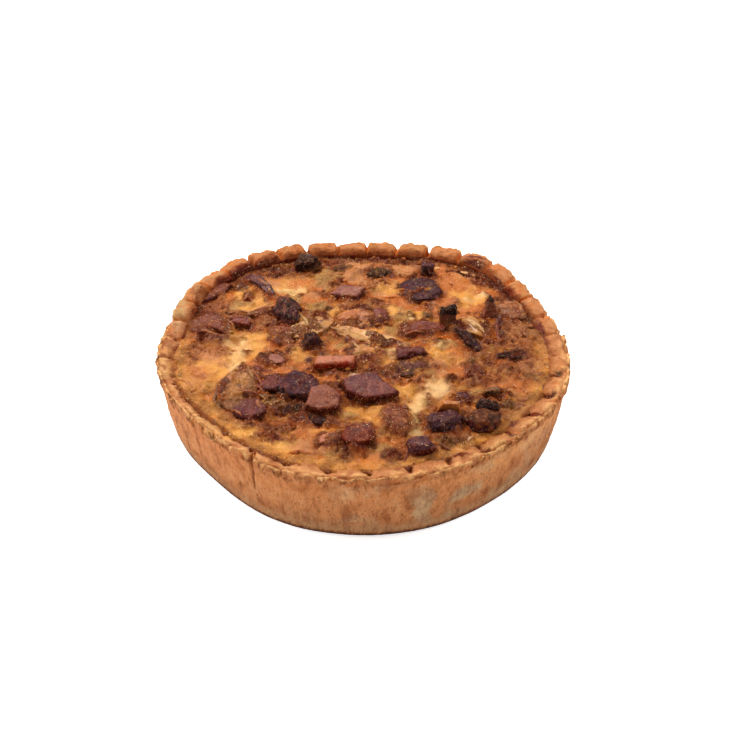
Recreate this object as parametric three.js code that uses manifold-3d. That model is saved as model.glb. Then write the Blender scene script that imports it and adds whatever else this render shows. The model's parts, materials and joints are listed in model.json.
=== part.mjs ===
// A quiche for one, about 120 mm across: a crimped shortcrust case, the baked egg filling in it, and the
// ham, mushroom, leek and onion that stand out of the filling. It has no dish: the case carries the filling.
// Millimetres, +Z up, origin at the middle of the flat base, front towards -Y.

import * as THREE from "three";
import { ImprovedNoise } from "three/addons/math/ImprovedNoise.js";
import { mergeVertices } from "three/addons/utils/BufferGeometryUtils.js";
import Module from "manifold-3d";

const wasm = await Module();
wasm.setup();

// ---- Driving dimensions ----
const RIM_RADIUS = 59.7; // mean outer radius of the crimped rim
const BASE_RADIUS = 57.1; // the wall leans out from here to the rim
const HEIGHT = 22; // base to the crown of the crimps
const RIM_WIDTH = 6; // across a crimp, outside to inside
const BASE_THICKNESS = 4.5; // pastry under the filling
const WALL_THICKNESS = 5; // pastry round the filling, at its foot
const FOOT_ROUND = 1.5; // rounding where the wall meets the base
const FILLING_LEVEL = 20; // mean height of the filling's top
const GAP = 0.3; // clearance between touching pieces

const CRIMPS = 35;
const CRIMP_COLUMNS = [0, 0.1, 0.36, 0.64, 0.9]; // where a crimp is cut across, in shares of its length
const FIRST_NOTCH = 138; // degrees from +X; the notches are counted clockwise from above
const NOTCH_DEPTH = 0.85; // share of the depth that the profile below gives a notch
const OPEN_NOTCHES = [1, 3, 7]; // notches pinched right through the rim
const OPEN_DEPTH = 1.35; // the same share for those
const UNEVENNESS = 0.35; // how far the crimps' heights vary, in mm
const CRIMP_FLATNESS = 0.6; // below 1, a crimp's top is flatter than an arch
const ENDS_DRAWN_IN = 0.6; // how far a crimp's ends are drawn in for each mm that they lie low
const RAGGED_GRAIN = 3.1; // size of the flakes along the outer edge, in mm

const COLUMNS = CRIMPS * CRIMP_COLUMNS.length;
const PITCH = (2 * Math.PI) / CRIMPS;
const rad = THREE.MathUtils.degToRad;

// The case is not quite round and its crimps are not quite even. Each row is lobes a turn, how far they
// swell in mm or stray in degrees, and where one peaks in degrees.
const OUT_OF_ROUND = [
  [1, 2.2, 90],
  [2, 1, -69],
  [3, 1.1, 33],
  [4, 0.85, -39],
  [5, 1.05, -18],
  [6, 0.3, 0],
  [7, 0.25, -6],
  [8, 0.2, 13],
];
const NOTCH_DRIFT = [
  [1, 2.4, 28],
  [2, 0.9, 88],
];

// ---- Small tools ----
const perlin = new ImprovedNoise();
const MERGE_WITHIN = 1e-4;

function noise(x, y, z, grain) {
  return perlin.noise(x / grain, y / grain, z / grain);
}

// A Lehmer generator: the same draws between 0 and 1 each run.
function seeded(seed) {
  const [factor, modulus] = [16807, 2147483647];
  let state = seed;
  return () => {
    state = (state * factor) % modulus;
    return state / modulus;
  };
}

// Moves each corner of a geometry by a rule.
function reshape(geometry, rule) {
  const corners = geometry.attributes.position;
  const p = new THREE.Vector3();
  for (let i = 0; i < corners.count; i++) {
    p.fromBufferAttribute(corners, i);
    rule(p, i);
    corners.setXYZ(i, p.x, p.y, p.z);
  }
  return geometry;
}

// A closed body from a geometry: shared corners are joined and flat slivers at the poles dropped.
function solid(geometry) {
  geometry.deleteAttribute("normal");
  geometry.deleteAttribute("uv");
  const joined = mergeVertices(geometry, MERGE_WITHIN);
  const index = joined.index.array;
  const triVerts = [];
  for (let i = 0; i < index.length; i += 3) {
    const [a, b, c] = index.slice(i, i + 3);
    if (a !== b && b !== c && c !== a) triVerts.push(a, b, c);
  }
  const vertProperties = joined.attributes.position.array;
  const mesh = new wasm.Mesh({ numProp: 3, vertProperties, triVerts: new Uint32Array(triVerts) });
  return new wasm.Manifold(mesh);
}

function geometryOf(body) {
  const { vertProperties, triVerts } = body.getMesh();
  const geometry = new THREE.BufferGeometry();
  geometry.setAttribute("position", new THREE.BufferAttribute(vertProperties, 3));
  geometry.setIndex(new THREE.BufferAttribute(triVerts, 1));
  geometry.computeVertexNormals();
  return geometry;
}

// ---- The outline that the case and the filling share ----
function waves(rows, angle) {
  return rows.reduce((sum, [lobes, size, peak]) => sum + size * Math.cos(lobes * (angle - rad(peak))), 0);
}

function swell(angle) {
  return waves(OUT_OF_ROUND, angle);
}

// A lathe turns its profile about Y; this stands it up about Z and pushes it to the true outline. Its columns
// run clockwise, so the profile is turned from its inside end for the faces to point out. A rule gives each
// profile point's radius and height at an angle.
function turned(profile, columns, angleOf, rule) {
  const rows = [...profile].reverse();
  const points = rows.map(({ r, z }) => new THREE.Vector2(r, z));
  const geometry = new THREE.LatheGeometry(points, columns);
  return reshape(geometry, (p, i) => {
    const column = Math.floor(i / rows.length) % columns;
    const row = rows[i % rows.length];
    const angle = angleOf(column);
    const { r, z } = rule(row, angle, column);
    const reach = row.r === 0 ? 0 : r + swell(angle) * (row.r / RIM_RADIUS);
    p.set(reach * Math.cos(angle), reach * Math.sin(angle), z);
  });
}

// ---- The pastry case ----
function notchAngle(k) {
  const even = rad(FIRST_NOTCH) - k * PITCH;
  return even + rad(waves(NOTCH_DRIFT, even));
}

// The case in profile, from the middle of its base out, up the wall, over the rim and down inside. Each point
// also says how far it sinks and is pulled in at a notch, how far a crimp's ends lie below its middle, and how
// ragged it is.
const CASE_PROFILE = [
  { r: 0, z: 0 },
  { r: BASE_RADIUS - FOOT_ROUND, z: 0 },
  { r: BASE_RADIUS, z: FOOT_ROUND },
  { r: BASE_RADIUS + 1.2, z: 9 },
  { r: BASE_RADIUS + 2, z: 16 },
  { r: RIM_RADIUS, z: 19.4, pull: 0.6, sink: 0.8, rough: 0.3 },
  { r: RIM_RADIUS + 0.1, z: 20.9, pull: 2.2, sink: 1.8, ease: 0.5, rough: 0.6 },
  { r: RIM_RADIUS - 0.8, z: 21.8, pull: 1.9, sink: 3, ease: 0.9, rough: 0.4 },
  { r: RIM_RADIUS - 3, z: HEIGHT, pull: 0.5, sink: 2.9, ease: 0.8 },
  { r: RIM_RADIUS - 5, z: 21.4, sink: 2, ease: 0.7 },
  { r: RIM_RADIUS - RIM_WIDTH + 0.2, z: 20.3, pull: -0.3, sink: 0.9, ease: 0.4 },
  { r: RIM_RADIUS - RIM_WIDTH, z: 18.4 },
  { r: BASE_RADIUS - WALL_THICKNESS, z: BASE_THICKNESS },
  { r: 0, z: BASE_THICKNESS },
];

function crimpedCase() {
  const random = seeded(7);
  const uneven = () => UNEVENNESS * (2 * random() - 1);
  const crimps = Array.from({ length: CRIMPS }, (_, k) => ({
    depth: (OPEN_NOTCHES.includes(k) ? OPEN_DEPTH : NOTCH_DEPTH) + uneven() / 2,
    crown: uneven(),
  }));
  const place = (column) => ({
    crimp: Math.floor(column / CRIMP_COLUMNS.length),
    share: CRIMP_COLUMNS[column % CRIMP_COLUMNS.length],
  });
  const angleOf = (column) => {
    const { crimp, share } = place(column);
    return THREE.MathUtils.lerp(notchAngle(crimp), notchAngle(crimp + 1), share);
  };
  const rule = ({ r, z, pull = 0, sink = 0, ease = 0, rough = 0 }, angle, column) => {
    const { crimp, share } = place(column);
    const notch = share === 0 ? crimps[crimp].depth : 0;
    const low = 1 - Math.sin(Math.PI * share) ** CRIMP_FLATNESS; // 0 at a crimp's middle, 1 at its ends
    const ragged = rough * noise(r * Math.cos(angle), r * Math.sin(angle), z, RAGGED_GRAIN);
    const crown = ease > 0 ? crimps[crimp].crown * (1 - low) : 0;
    return {
      r: r - pull * notch - ease * low * ENDS_DRAWN_IN + ragged,
      z: z - sink * notch - ease * low + crown + ragged / 2,
    };
  };
  return solid(turned(CASE_PROFILE, COLUMNS, angleOf, rule));
}

// The split in the wall: a crooked sliver, widest over the rim, that runs a little over half way down.
const SPLIT = {
  angle: 240.8,
  top: HEIGHT + 2,
  bottom: 8,
  width: 1.4,
  depth: 2.6,
  sway: 0.35,
  slant: 1,
  stations: 6,
};

function splitBlade() {
  const { angle, top, bottom, width, depth, sway, slant, stations } = SPLIT;
  const side = (sign, k) => {
    const share = k / stations;
    const middle = sway * Math.sin(k * k) + slant * share;
    return new THREE.Vector2(middle + (sign * width * (1 - share)) / 2, top - (top - bottom) * share);
  };
  const outline = [];
  for (let k = 0; k < stations; k++) outline.push(side(1, k));
  for (let k = stations; k >= 0; k--) outline.push(side(-1, k));
  const through = { depth: 3 * depth, bevelEnabled: false };
  const geometry = new THREE.ExtrudeGeometry(new THREE.Shape(outline), through);
  // Drawn across the wall and up it; the extrusion then runs out through the wall.
  geometry.rotateX(Math.PI / 2);
  geometry.rotateZ(rad(angle) + Math.PI / 2);
  const reach = RIM_RADIUS + swell(rad(angle)) - depth;
  geometry.translate(reach * Math.cos(rad(angle)), reach * Math.sin(rad(angle)), 0);
  return solid(geometry);
}

// ---- The filling ----
const FILLING_RADIUS = RIM_RADIUS - RIM_WIDTH - GAP;
const FILLING_COLUMNS = 72;
const FILLING_RINGS = [1, 0.95, 0.88, 0.8, 0.71, 0.62, 0.52, 0.42, 0.31, 0.18, 0];
const EDGE_LEVEL = 19.2; // the filling's top where it meets the case
const EDGE_SHARE = 0.9; // where it starts to fall to that, as a share of the way out
const BROAD_WAVES = { rise: 0.5, grain: 9 };
const FINE_WAVES = { rise: 0.3, grain: 4 };

// Sunken pools of smooth custard between the pieces: x, y, reach and depth.
const POOLS = [
  [-20, 34.2, 10, 0.9],
  [-33, 2.2, 9, 0.9],
  [16, -22.8, 9, 1],
  [32, 32.2, 10, 0.9],
  [8, -0.8, 5, 0.8],
  [-45, -11.8, 7, 0.6],
  [-12, -44.8, 8, 0.5],
];

// Low swells where the filling is thick with leek and onion: x, y, reach and rise.
const SWELLS = [
  [-33, -20.8, 12, 0.9],
  [-45, 20.2, 9, 0.6],
  [44, 14.2, 10, 0.7],
  [-17, 12.2, 11, 0.7],
  [-1, 0.2, 10, 0.7],
  [22, 8.2, 10, 0.6],
  [30, -9.8, 12, 0.4],
  [3, 46.2, 9, 0.6],
];

function mound(x, y, [cx, cy, reach, rise]) {
  const away = Math.hypot(x - cx, y - cy) / reach;
  return away < 1 ? rise * (1 - away * away) ** 2 : 0;
}

function fillingTop(x, y, share) {
  let z = FILLING_LEVEL;
  for (const { rise, grain } of [BROAD_WAVES, FINE_WAVES]) z += rise * noise(x, y, grain / 3, grain);
  for (const hump of SWELLS) z += mound(x, y, hump);
  for (const pool of POOLS) z -= mound(x, y, pool);
  const edge = THREE.MathUtils.smoothstep(share, EDGE_SHARE, 1);
  return THREE.MathUtils.lerp(z, EDGE_LEVEL, edge);
}

function bakedFilling(lift, top) {
  const floor = BASE_THICKNESS + GAP + lift;
  const profile = [
    { r: 0, z: floor },
    { r: BASE_RADIUS - WALL_THICKNESS - GAP, z: floor },
    ...FILLING_RINGS.map((share) => ({ r: FILLING_RADIUS * share, z: EDGE_LEVEL, share })),
  ];
  const angleOf = (column) => (-2 * Math.PI * column) / FILLING_COLUMNS;
  const rule = ({ r, z, share }, angle) => {
    if (share === undefined) return { r, z };
    const reach = r + swell(angle) * (r / RIM_RADIUS);
    return { r, z: lift + top(reach * Math.cos(angle), reach * Math.sin(angle), share) };
  };
  return solid(turned(profile, FILLING_COLUMNS, angleOf, rule));
}

// ---- The pieces that stand out of the filling ----
// Each is made lying at the origin, its length along X, then tipped, turned and set down. A piece reaches SUNK
// below the filling's top before the filling is cut away from it. A piece grown on every side cuts room for
// itself in the pieces laid after it.
const SUNK = 1.4;
const SLAB_EDGE = 0.45; // softening of a slab's edges
const SLAB_WAVES = { rise: 0.35, grain: 5 };
const WRINKLE_GRAIN = 0.75; // size of a lump's wrinkles, where 2 is its whole width
const LEAF_STEPS = 8;
const LEAF_WAVES = { rise: 0.4, grain: 3 };
const LEAF_SWAY = 0.12; // how far a leaf wanders sideways, as a share of its width
const STUB_WAVES = { rise: 0.4, grain: 2.7 };

// A diced slab of ham with softened edges: its corners are in shares of the half length and half width.
function slab({ size: [length, width, high], corners, grow = 0 }) {
  const edge = SLAB_EDGE;
  const depth = high + SUNK + grow - 2 * edge;
  const [halfLength, halfWidth] = [length / 2 + grow, width / 2 + grow];
  const points = corners.map(([x, y]) => new THREE.Vector2(x * halfLength, y * halfWidth));
  const bevel = { bevelSegments: 1, bevelSize: edge, bevelThickness: edge, bevelOffset: -edge };
  const geometry = new THREE.ExtrudeGeometry(new THREE.Shape(points), { depth, ...bevel });
  geometry.translate(0, 0, edge - SUNK);
  return reshape(geometry, (p) => {
    p.z += SLAB_WAVES.rise * noise(p.x, p.y, length, SLAB_WAVES.grain);
    p.x += SLAB_WAVES.rise * noise(p.y, p.z, width, SLAB_WAVES.grain);
  });
}

// A wrinkled lump, such as a slice of mushroom that has shrunk: blunt makes it boxier and dish hollows its top.
function lump({ size, fine = 1, rough = 0.28, blunt = 1, dish = 0, seed = 1, grow = 0 }) {
  const [length, width, high] = size;
  const geometry = new THREE.IcosahedronGeometry(1, fine);
  return reshape(geometry, (p) => {
    const wrinkle = 1 + rough * noise(p.x + 4 * seed, p.y, p.z - 2 * seed, WRINKLE_GRAIN);
    const soft = (v) => Math.sign(v) * Math.abs(v) ** blunt;
    const hollow = dish * Math.max(0, p.z) * (1 - p.x * p.x - p.y * p.y);
    const middle = (high - SUNK) / 2;
    p.set(
      soft(p.x) * wrinkle * (length / 2 + grow),
      soft(p.y) * wrinkle * (width / 2 + grow),
      (p.z * wrinkle - hollow) * (high - middle + grow) + middle,
    );
  });
}

// A leaf of leek: a thin strip that arches along its length, cups across it and narrows to its ends.
function leaf({ size: [length, width, high], thick = 0.9, cup = 0.4, taper = 0.5, seed = 1, grow = 0 }) {
  const more = 2 * grow;
  const geometry = new THREE.BoxGeometry(length + more, width + more, thick + more, LEAF_STEPS, 2, 1);
  return reshape(geometry, (p) => {
    const along = (2 * p.x) / length;
    const across = (2 * p.y) / width;
    const arch = (high - thick) * Math.cos((Math.PI / 2) * along);
    const wave = LEAF_WAVES.rise * noise(p.x, p.y, 5 * seed, LEAF_WAVES.grain);
    p.y = p.y * (1 - taper * along * along) + LEAF_SWAY * width * Math.sin(2.5 * along + seed);
    p.z += arch + wave + cup * across * across;
  });
}

// A piece that stands on edge, such as the end of a leek or a rind: a plate that narrows upwards and leans.
function stub({ size: [length, width, high], taper = 0.2, lean = 0, slant = 0, seed = 1, grow = 0 }) {
  const tall = high + SUNK + grow;
  const geometry = new THREE.BoxGeometry(length + 2 * grow, width + 2 * grow, tall, 3, 1, 4);
  geometry.translate(0, 0, tall / 2 - SUNK);
  return reshape(geometry, (p) => {
    const up = THREE.MathUtils.clamp(p.z / high, 0, 1);
    p.z += slant * up * (p.x / length);
    p.x = p.x * (1 - taper * up) + STUB_WAVES.rise * noise(p.z, p.y, 2 * seed, STUB_WAVES.grain);
    p.y += lean * up * up + STUB_WAVES.rise * noise(p.x, p.z, 4 * seed, STUB_WAVES.grain);
  });
}

const LOZENGE = [[-1, -0.5], [0.55, -1], [1, 0.35], [-0.35, 1]];
const BLOCK = [[-1, -0.85], [0.9, -1], [1, 0.8], [-0.85, 1]];
const KITE = [[-1, -0.55], [-0.35, -1], [0.75, -0.8], [1, 0.1], [0.35, 1], [-0.5, 0.85]];
const BROAD = [
  [-1, 0.1], [-0.75, -0.65], [-0.05, -1], [0.7, -0.6],
  [1, -0.2], [0.35, 0.55], [0.1, 1], [-0.55, 0.6],
];
const STRIP = [[-1, -0.6], [0.2, -1], [1, -0.4], [0.85, 0.8], [-0.1, 1], [-0.9, 0.7]];

const HAM = "ham";
const MUSHROOM = "mushroom";
const LEEK = "leek";
const ONION = "onion";
const BURNT = "burnt_edge";

// name, food, shape, x and y of its middle, length, width and height above the filling, turn in degrees, and
// what else its shape takes; tip is a tilt in degrees about its length and then its width.
const PIECES = [
  // the back third
  ["leek_knot_back", BURNT, lump, [-18, 45.7], [7.5, 5.5, 4.6], 10,
    { rough: 0.5, blunt: 0.8, seed: 3 }],
  ["leek_crust_back", BURNT, lump, [5.3, 40.8], [8, 6, 1.9], -8, { rough: 0.55, seed: 5 }],
  ["mushroom_back", MUSHROOM, lump, [17.4, 30.4], [13, 13, 2.3], 20,
    { fine: 2, rough: 0.35, blunt: 0.8, dish: 0.4 }],
  ["stalk_back", MUSHROOM, stub, [20.6, 40.5], [4.2, 3, 4], 8, { taper: 0.15, lean: 0.6 }],
  ["ham_back", HAM, slab, [-4.6, 28.6], [11.5, 6.5, 2.4], -3, { corners: LOZENGE, tip: [9, -4] }],
  ["leek_curl_back", LEEK, leaf, [-32.5, 33.7], [15, 3.6, 2], -50, { thick: 1.2, seed: 2 }],
  ["ham_strip_left", HAM, slab, [-45.6, 29.2], [12, 4, 1.5], 52, { corners: STRIP, tip: [8, 0] }],
  // the left side
  ["mushroom_ridge", MUSHROOM, lump, [-22.6, 16.8], [7.5, 13, 4.3], 22,
    { fine: 2, rough: 0.4, seed: 7 }],
  ["leek_fold_left", LEEK, leaf, [-30, 18.4], [11, 3, 1.4], 28, { thick: 1, seed: 4 }],
  ["onion_left", ONION, lump, [-23.6, 6.4], [9, 11, 1.7], 12, { rough: 0.3, seed: 8 }],
  ["ham_dice_left", HAM, slab, [-36.2, 12.4], [6.2, 4.2, 1.5], -8, { corners: BLOCK }],
  ["onion_rim_left", ONION, lump, [-46, 10.8], [12, 11, 1.8], 5,
    { fine: 2, rough: 0.35, dish: 0.6, seed: 9 }],
  ["leek_petal_left", LEEK, leaf, [-15.2, 9.8], [15, 8, 1.3], 38, { cup: 0.5, taper: 0.35, seed: 5 }],
  ["leek_burnt_wedge", BURNT, stub, [-14.4, 0.8], [7, 3.2, 3], 22, { taper: 0.6, lean: 1 }],
  ["ham_flush_left", HAM, slab, [-25.6, -6.4], [9, 5, 1], -14, { corners: KITE }],
  // the middle
  ["onion_middle", ONION, lump, [-1.6, 15.6], [12.5, 10, 1.8], 15,
    { fine: 2, rough: 0.3, blunt: 0.8, seed: 11 }],
  ["ham_end_middle", HAM, lump, [5, 15.6], [5, 7.6, 2.4], 8, { rough: 0.35, blunt: 0.7, seed: 12 }],
  ["leek_petal_middle", LEEK, leaf, [-1.8, 5.8], [17, 5.6, 1.5], -36, { taper: 0.45, seed: 6 }],
  ["leek_crumple_middle", LEEK, lump, [0.8, -2.8], [9.5, 6.5, 1.6], 20, { rough: 0.55, seed: 13 }],
  ["ham_bar", HAM, slab, [-7.8, -9.8], [12, 4, 2.9], 4, { corners: BLOCK, tip: [6, 0] }],
  ["mushroom_upper", MUSHROOM, lump, [13.6, -4.4], [9.5, 4.4, 2.6], 3,
    { rough: 0.45, blunt: 0.75, seed: 14 }],
  ["mushroom_flap", MUSHROOM, leaf, [12.4, -10.8], [16, 8.4, 1.9], 6,
    { thick: 1.4, cup: -0.7, taper: 0.4, seed: 7 }],
  ["ham_broad", HAM, slab, [2, -21.4], [16, 11, 2.9], -8, { corners: BROAD, tip: [7, 4] }],
  ["leek_fleck_middle", LEEK, leaf, [8.6, 2.2], [5, 2, 0.9], -12, { thick: 0.7, seed: 8 }],
  // the right side
  ["ham_strip_right", HAM, lump, [17.4, 8.8], [14, 6, 1.6], 4, { rough: 0.3, blunt: 0.75, seed: 15 }],
  ["leek_end_standing", BURNT, stub, [25.2, 12], [4.8, 2, 5.4], 3,
    { taper: 0.05, slant: 1.2, lean: 0.5 }],
  ["leek_petal_right", LEEK, leaf, [32.4, 9.8], [9.5, 9, 2.6], -4, { cup: -0.6, taper: 0.15, seed: 9 }],
  ["leek_tip_standing", MUSHROOM, stub, [38.2, 16.8], [4.8, 2.6, 6.2], 6, { taper: 0.85, lean: 1 }],
  ["leek_curl_right", BURNT, leaf, [30.4, 2.8], [12.5, 3, 2.2], -60, { thick: 1.3, seed: 10 }],
  ["onion_rim_right", ONION, lump, [45.6, 18.8], [10, 10, 2.2], 12, { fine: 2, rough: 0.45, seed: 16 }],
  ["leek_boat_right", BURNT, lump, [42.7, -5], [10.5, 3.8, 2.1], -2,
    { rough: 0.35, dish: 0.8, seed: 17 }],
  // the front left
  ["mushroom_rings", MUSHROOM, lump, [-24, -18.6], [8.6, 7, 2.6], 8,
    { rough: 0.35, blunt: 0.85, dish: 0.4, seed: 18 }],
  ["mushroom_gills", MUSHROOM, lump, [-17.2, -20.8], [10, 12, 3.6], -18,
    { fine: 2, rough: 0.4, blunt: 0.8, seed: 19 }],
  ["leek_thicket_front", LEEK, lump, [-33.2, -20.4], [10.5, 17, 2.5], -10,
    { fine: 2, rough: 0.5, seed: 20 }],
  ["mushroom_button_left", MUSHROOM, lump, [-29.6, -30.6], [9, 7.6, 3.2], 4,
    { rough: 0.3, dish: 0.5, seed: 21 }],
  ["ham_square", HAM, slab, [-11, -27.4], [10, 9, 3.6], 12, { corners: KITE, tip: [12, 5] }],
  ["crumbs_under_ham", BURNT, lump, [-13.4, -34], [12, 4, 1.4], -6, { rough: 0.55, seed: 22 }],
  // the front right
  ["ham_knob_middle", HAM, lump, [-0.8, -42.4], [9, 7.6, 3.8], 6,
    { rough: 0.38, blunt: 0.8, seed: 23 }],
  ["ham_knob_right", HAM, lump, [14.4, -46], [8, 6, 3.3], -6, { rough: 0.38, blunt: 0.8, seed: 24 }],
  ["onion_scrap_front", ONION, lump, [-8.6, -41.4], [6, 5, 1.2], 10, { rough: 0.4, seed: 25 }],
  ["onion_front", ONION, lump, [8.4, -32.4], [7.4, 11, 1.6], 8, { rough: 0.3, seed: 26 }],
  ["mushroom_front", MUSHROOM, lump, [21.4, -36.2], [10, 7.4, 4.2], -4,
    { fine: 2, rough: 0.35, dish: 0.3, seed: 27 }],
  ["onion_flap", ONION, stub, [22.8, -31], [7.4, 1.8, 5.2], -4, { taper: 0.45, lean: -1.2 }],
  ["mushroom_right", MUSHROOM, lump, [31.6, -35.8], [9.6, 7, 3.8], 4,
    { fine: 2, rough: 0.35, seed: 28 }],
  ["burnt_cap_right", BURNT, lump, [32.8, -30.6], [6.6, 4, 4.4], -12,
    { rough: 0.4, blunt: 0.8, seed: 29 }],
  ["leek_crinkle_right", LEEK, stub, [35, -23.2], [5, 1.8, 2.4], -6, { taper: 0.3, slant: 1 }],
  ["mushroom_scrap_right", MUSHROOM, lump, [26.6, -24.2], [5, 4.4, 1.3], 20, { rough: 0.4, seed: 30 }],
];

function setDown([, , shape, [x, y], size, turn, more], grow) {
  const [tipAlong = 0, tipAcross = 0] = more.tip ?? [];
  const geometry = shape({ size, grow, ...more });
  const bearing = new THREE.Euler(rad(tipAlong), rad(tipAcross), rad(turn), "ZYX");
  const matrix = new THREE.Matrix4().makeRotationFromEuler(bearing);
  matrix.setPosition(x, y, fillingTop(x, y, 0));
  return solid(geometry.applyMatrix4(matrix));
}

// The largest body left after a cut: scraps are dropped.
function largest(body) {
  return body.decompose().reduce((best, part) => (part.volume() > best.volume() ? part : best));
}

function boxesMeet(a, b) {
  const [p, q] = [a.boundingBox(), b.boundingBox()];
  return p.min.every((low, axis) => low < q.max[axis] && q.min[axis] < p.max[axis]);
}

// ---- Assembly ----
const COLOURS = {
  pastry: "#c47b41",
  egg: "#d08a3c",
  [HAM]: "#8a4a38",
  [MUSHROOM]: "#5b3630",
  [LEEK]: "#9a7d45",
  [ONION]: "#a8592a",
  [BURNT]: "#30201e",
};

function named(name, body, food) {
  const material = new THREE.MeshStandardMaterial({ color: COLOURS[food], roughness: 0.6, metalness: 0 });
  const mesh = new THREE.Mesh(geometryOf(body), material);
  mesh.name = name;
  return mesh;
}

const quiche = new THREE.Group();
quiche.add(named("crust", crimpedCase().subtract(splitBlade()), "pastry"));
quiche.add(named("filling", bakedFilling(0, fillingTop), "egg"));

// The room over the filling and inside the rim, where the pieces may be.
const ROOM_TOP = 40;
const room = bakedFilling(0, () => ROOM_TOP).subtract(bakedFilling(GAP, fillingTop));

const margins = [];
for (const piece of PIECES) {
  let body = setDown(piece, 0).intersect(room);
  for (const margin of margins) {
    if (boxesMeet(body, margin)) body = body.subtract(margin);
  }
  body = largest(body);
  margins.push(setDown(piece, GAP));
  quiche.add(named(piece[0], body, piece[1]));
}

const box = new THREE.Box3().setFromObject(quiche);
quiche.position.set(-(box.min.x + box.max.x) / 2, -(box.min.y + box.max.y) / 2, -box.min.z);

export default quiche;
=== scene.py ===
"""A quiche for one: crimped shortcrust, baked custard, and browned ham, mushroom, leek and onion.

The CAD frame gives every piece its place and its form. Here each piece gets its fine surface: the case is
spun from its profile and crimped, the custard is a grid laid over the CAD filling, and each topping is the
CAD solid remeshed fine and weathered. All sizes are in millimetres until a mesh is made.
"""

import json
import math

import bmesh
import bpy
import numpy as np
from mathutils import Euler, Matrix, Vector, noise
from mathutils.bvhtree import BVHTree


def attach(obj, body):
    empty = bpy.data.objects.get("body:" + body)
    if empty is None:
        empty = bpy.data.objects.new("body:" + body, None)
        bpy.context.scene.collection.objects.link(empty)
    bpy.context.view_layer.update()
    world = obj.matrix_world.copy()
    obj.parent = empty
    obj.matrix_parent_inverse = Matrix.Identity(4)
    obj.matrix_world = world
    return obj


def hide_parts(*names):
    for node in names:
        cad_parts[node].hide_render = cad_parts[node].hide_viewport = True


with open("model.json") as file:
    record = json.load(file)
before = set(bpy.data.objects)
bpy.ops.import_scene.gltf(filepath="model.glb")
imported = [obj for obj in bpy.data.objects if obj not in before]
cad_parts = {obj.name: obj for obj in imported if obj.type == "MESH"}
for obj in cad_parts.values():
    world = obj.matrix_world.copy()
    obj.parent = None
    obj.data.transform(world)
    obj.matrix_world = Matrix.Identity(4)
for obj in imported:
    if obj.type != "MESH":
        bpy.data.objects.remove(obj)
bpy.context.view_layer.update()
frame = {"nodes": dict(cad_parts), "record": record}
NODES = frame["nodes"]
MM = 0.001

# ---- Driving dimensions in mm, as the solids have them ----
RIM_RADIUS = 59.7
BASE_RADIUS = 57.1
RIM_WIDTH = 6
BASE_THICKNESS = 4.5
WALL_THICKNESS = 5
GAP = 0.3  # between the filling and the case
MIDDLE_Y = -0.44  # the outline is drawn about this point and not the middle of its box

CRIMPS = 35
FIRST_NOTCH = math.radians(138)  # the notches are numbered clockwise from here
PITCH = 2 * math.pi / CRIMPS
NOTCH_DEPTH = 0.85
OPEN_NOTCHES = (1, 3, 7)  # pinched right through
OPEN_DEPTH = 1.35
UNEVENNESS = 0.35  # how unlike the notches and crimps are
ENDS_DRAWN_IN = 0.6  # how far a crimp's ends move in for each mm they drop

# Lobes a turn, their size in mm or degrees, and where one peaks in degrees.
OUT_OF_ROUND = ((1, 2.2, 90), (2, 1, -69), (3, 1.1, 33), (4, 0.85, -39), (5, 1.05, -18), (6, 0.3, 0),
                (7, 0.25, -6), (8, 0.2, 13))
NOTCH_DRIFT = ((1, 2.4, 28), (2, 0.9, 88))

# ---- What the oven did, with some painted shadow and highlights among the strokes ----
# Tints of baked food: colour, how wet and how granular each is, and how many mm it stands out of the custard.
TINTS = {
    "cream": ("#e8bc80", 0.6, 0.05, -0.2),
    "khaki": ("#b08446", 0.6, 0.25, 0.2),
    "gold": ("#de9e4c", 0.7, 0.1, -0.1),
    "amber": ("#ac5408", 1.0, 0.1, -0.2),
    "peach": ("#c48450", 0.6, 0.15, 0.1),
    "orange": ("#c47234", 0.7, 0.2, 0),
    "tan": ("#a8642e", 0.55, 0.5, 0.2),
    "brown": ("#783610", 0.6, 1.0, 0.5),
    "rust": ("#782606", 0.8, 0.9, 0.2),
    "wine": ("#480a00", 1.0, 0.5, -0.3),
    "char": ("#18080a", 0.64, 0.9, 0.5),
    "mauve": ("#70302a", 0.6, 0.5, 0.7),
    "plum": ("#3e1628", 0.62, 0.6, 0.7),
    "slate": ("#4c2e20", 0.6, 0.8, 0.6),
    "olive": ("#7a5626", 0.7, 0.7, 0.5),
    "moss": ("#38220a", 0.7, 0.9, 0.4),
    "salmon": ("#b06440", 0.6, 0.25, 0.4),
    "ham": ("#8c5038", 0.6, 0.3, 0.4),
    "ruby": ("#8c1606", 0.9, 0.2, 0),
    # a pearly white, laid as painted highlights on the custard and as a pale stripe on one leek shred
    "pearl": ("#f4d8bc", 1.0, 0.1, 0),
    "crumb": ("#c48456", 0.15, 0.4, 0),
    "wall": ("#d2915f", 0.1, 0.75, 0),
    "floury": ("#c6a47e", 0.0, 0.7, 0),
    "toast": ("#8c481c", 0.25, 0.5, 0),
    "flake": ("#ffc888", 0.1, 0.7, 0),
    "ember": ("#d67426", 0.2, 0.2, 0),
    "foot": ("#5c3526", 0.1, 0.8, 0),
}
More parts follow.
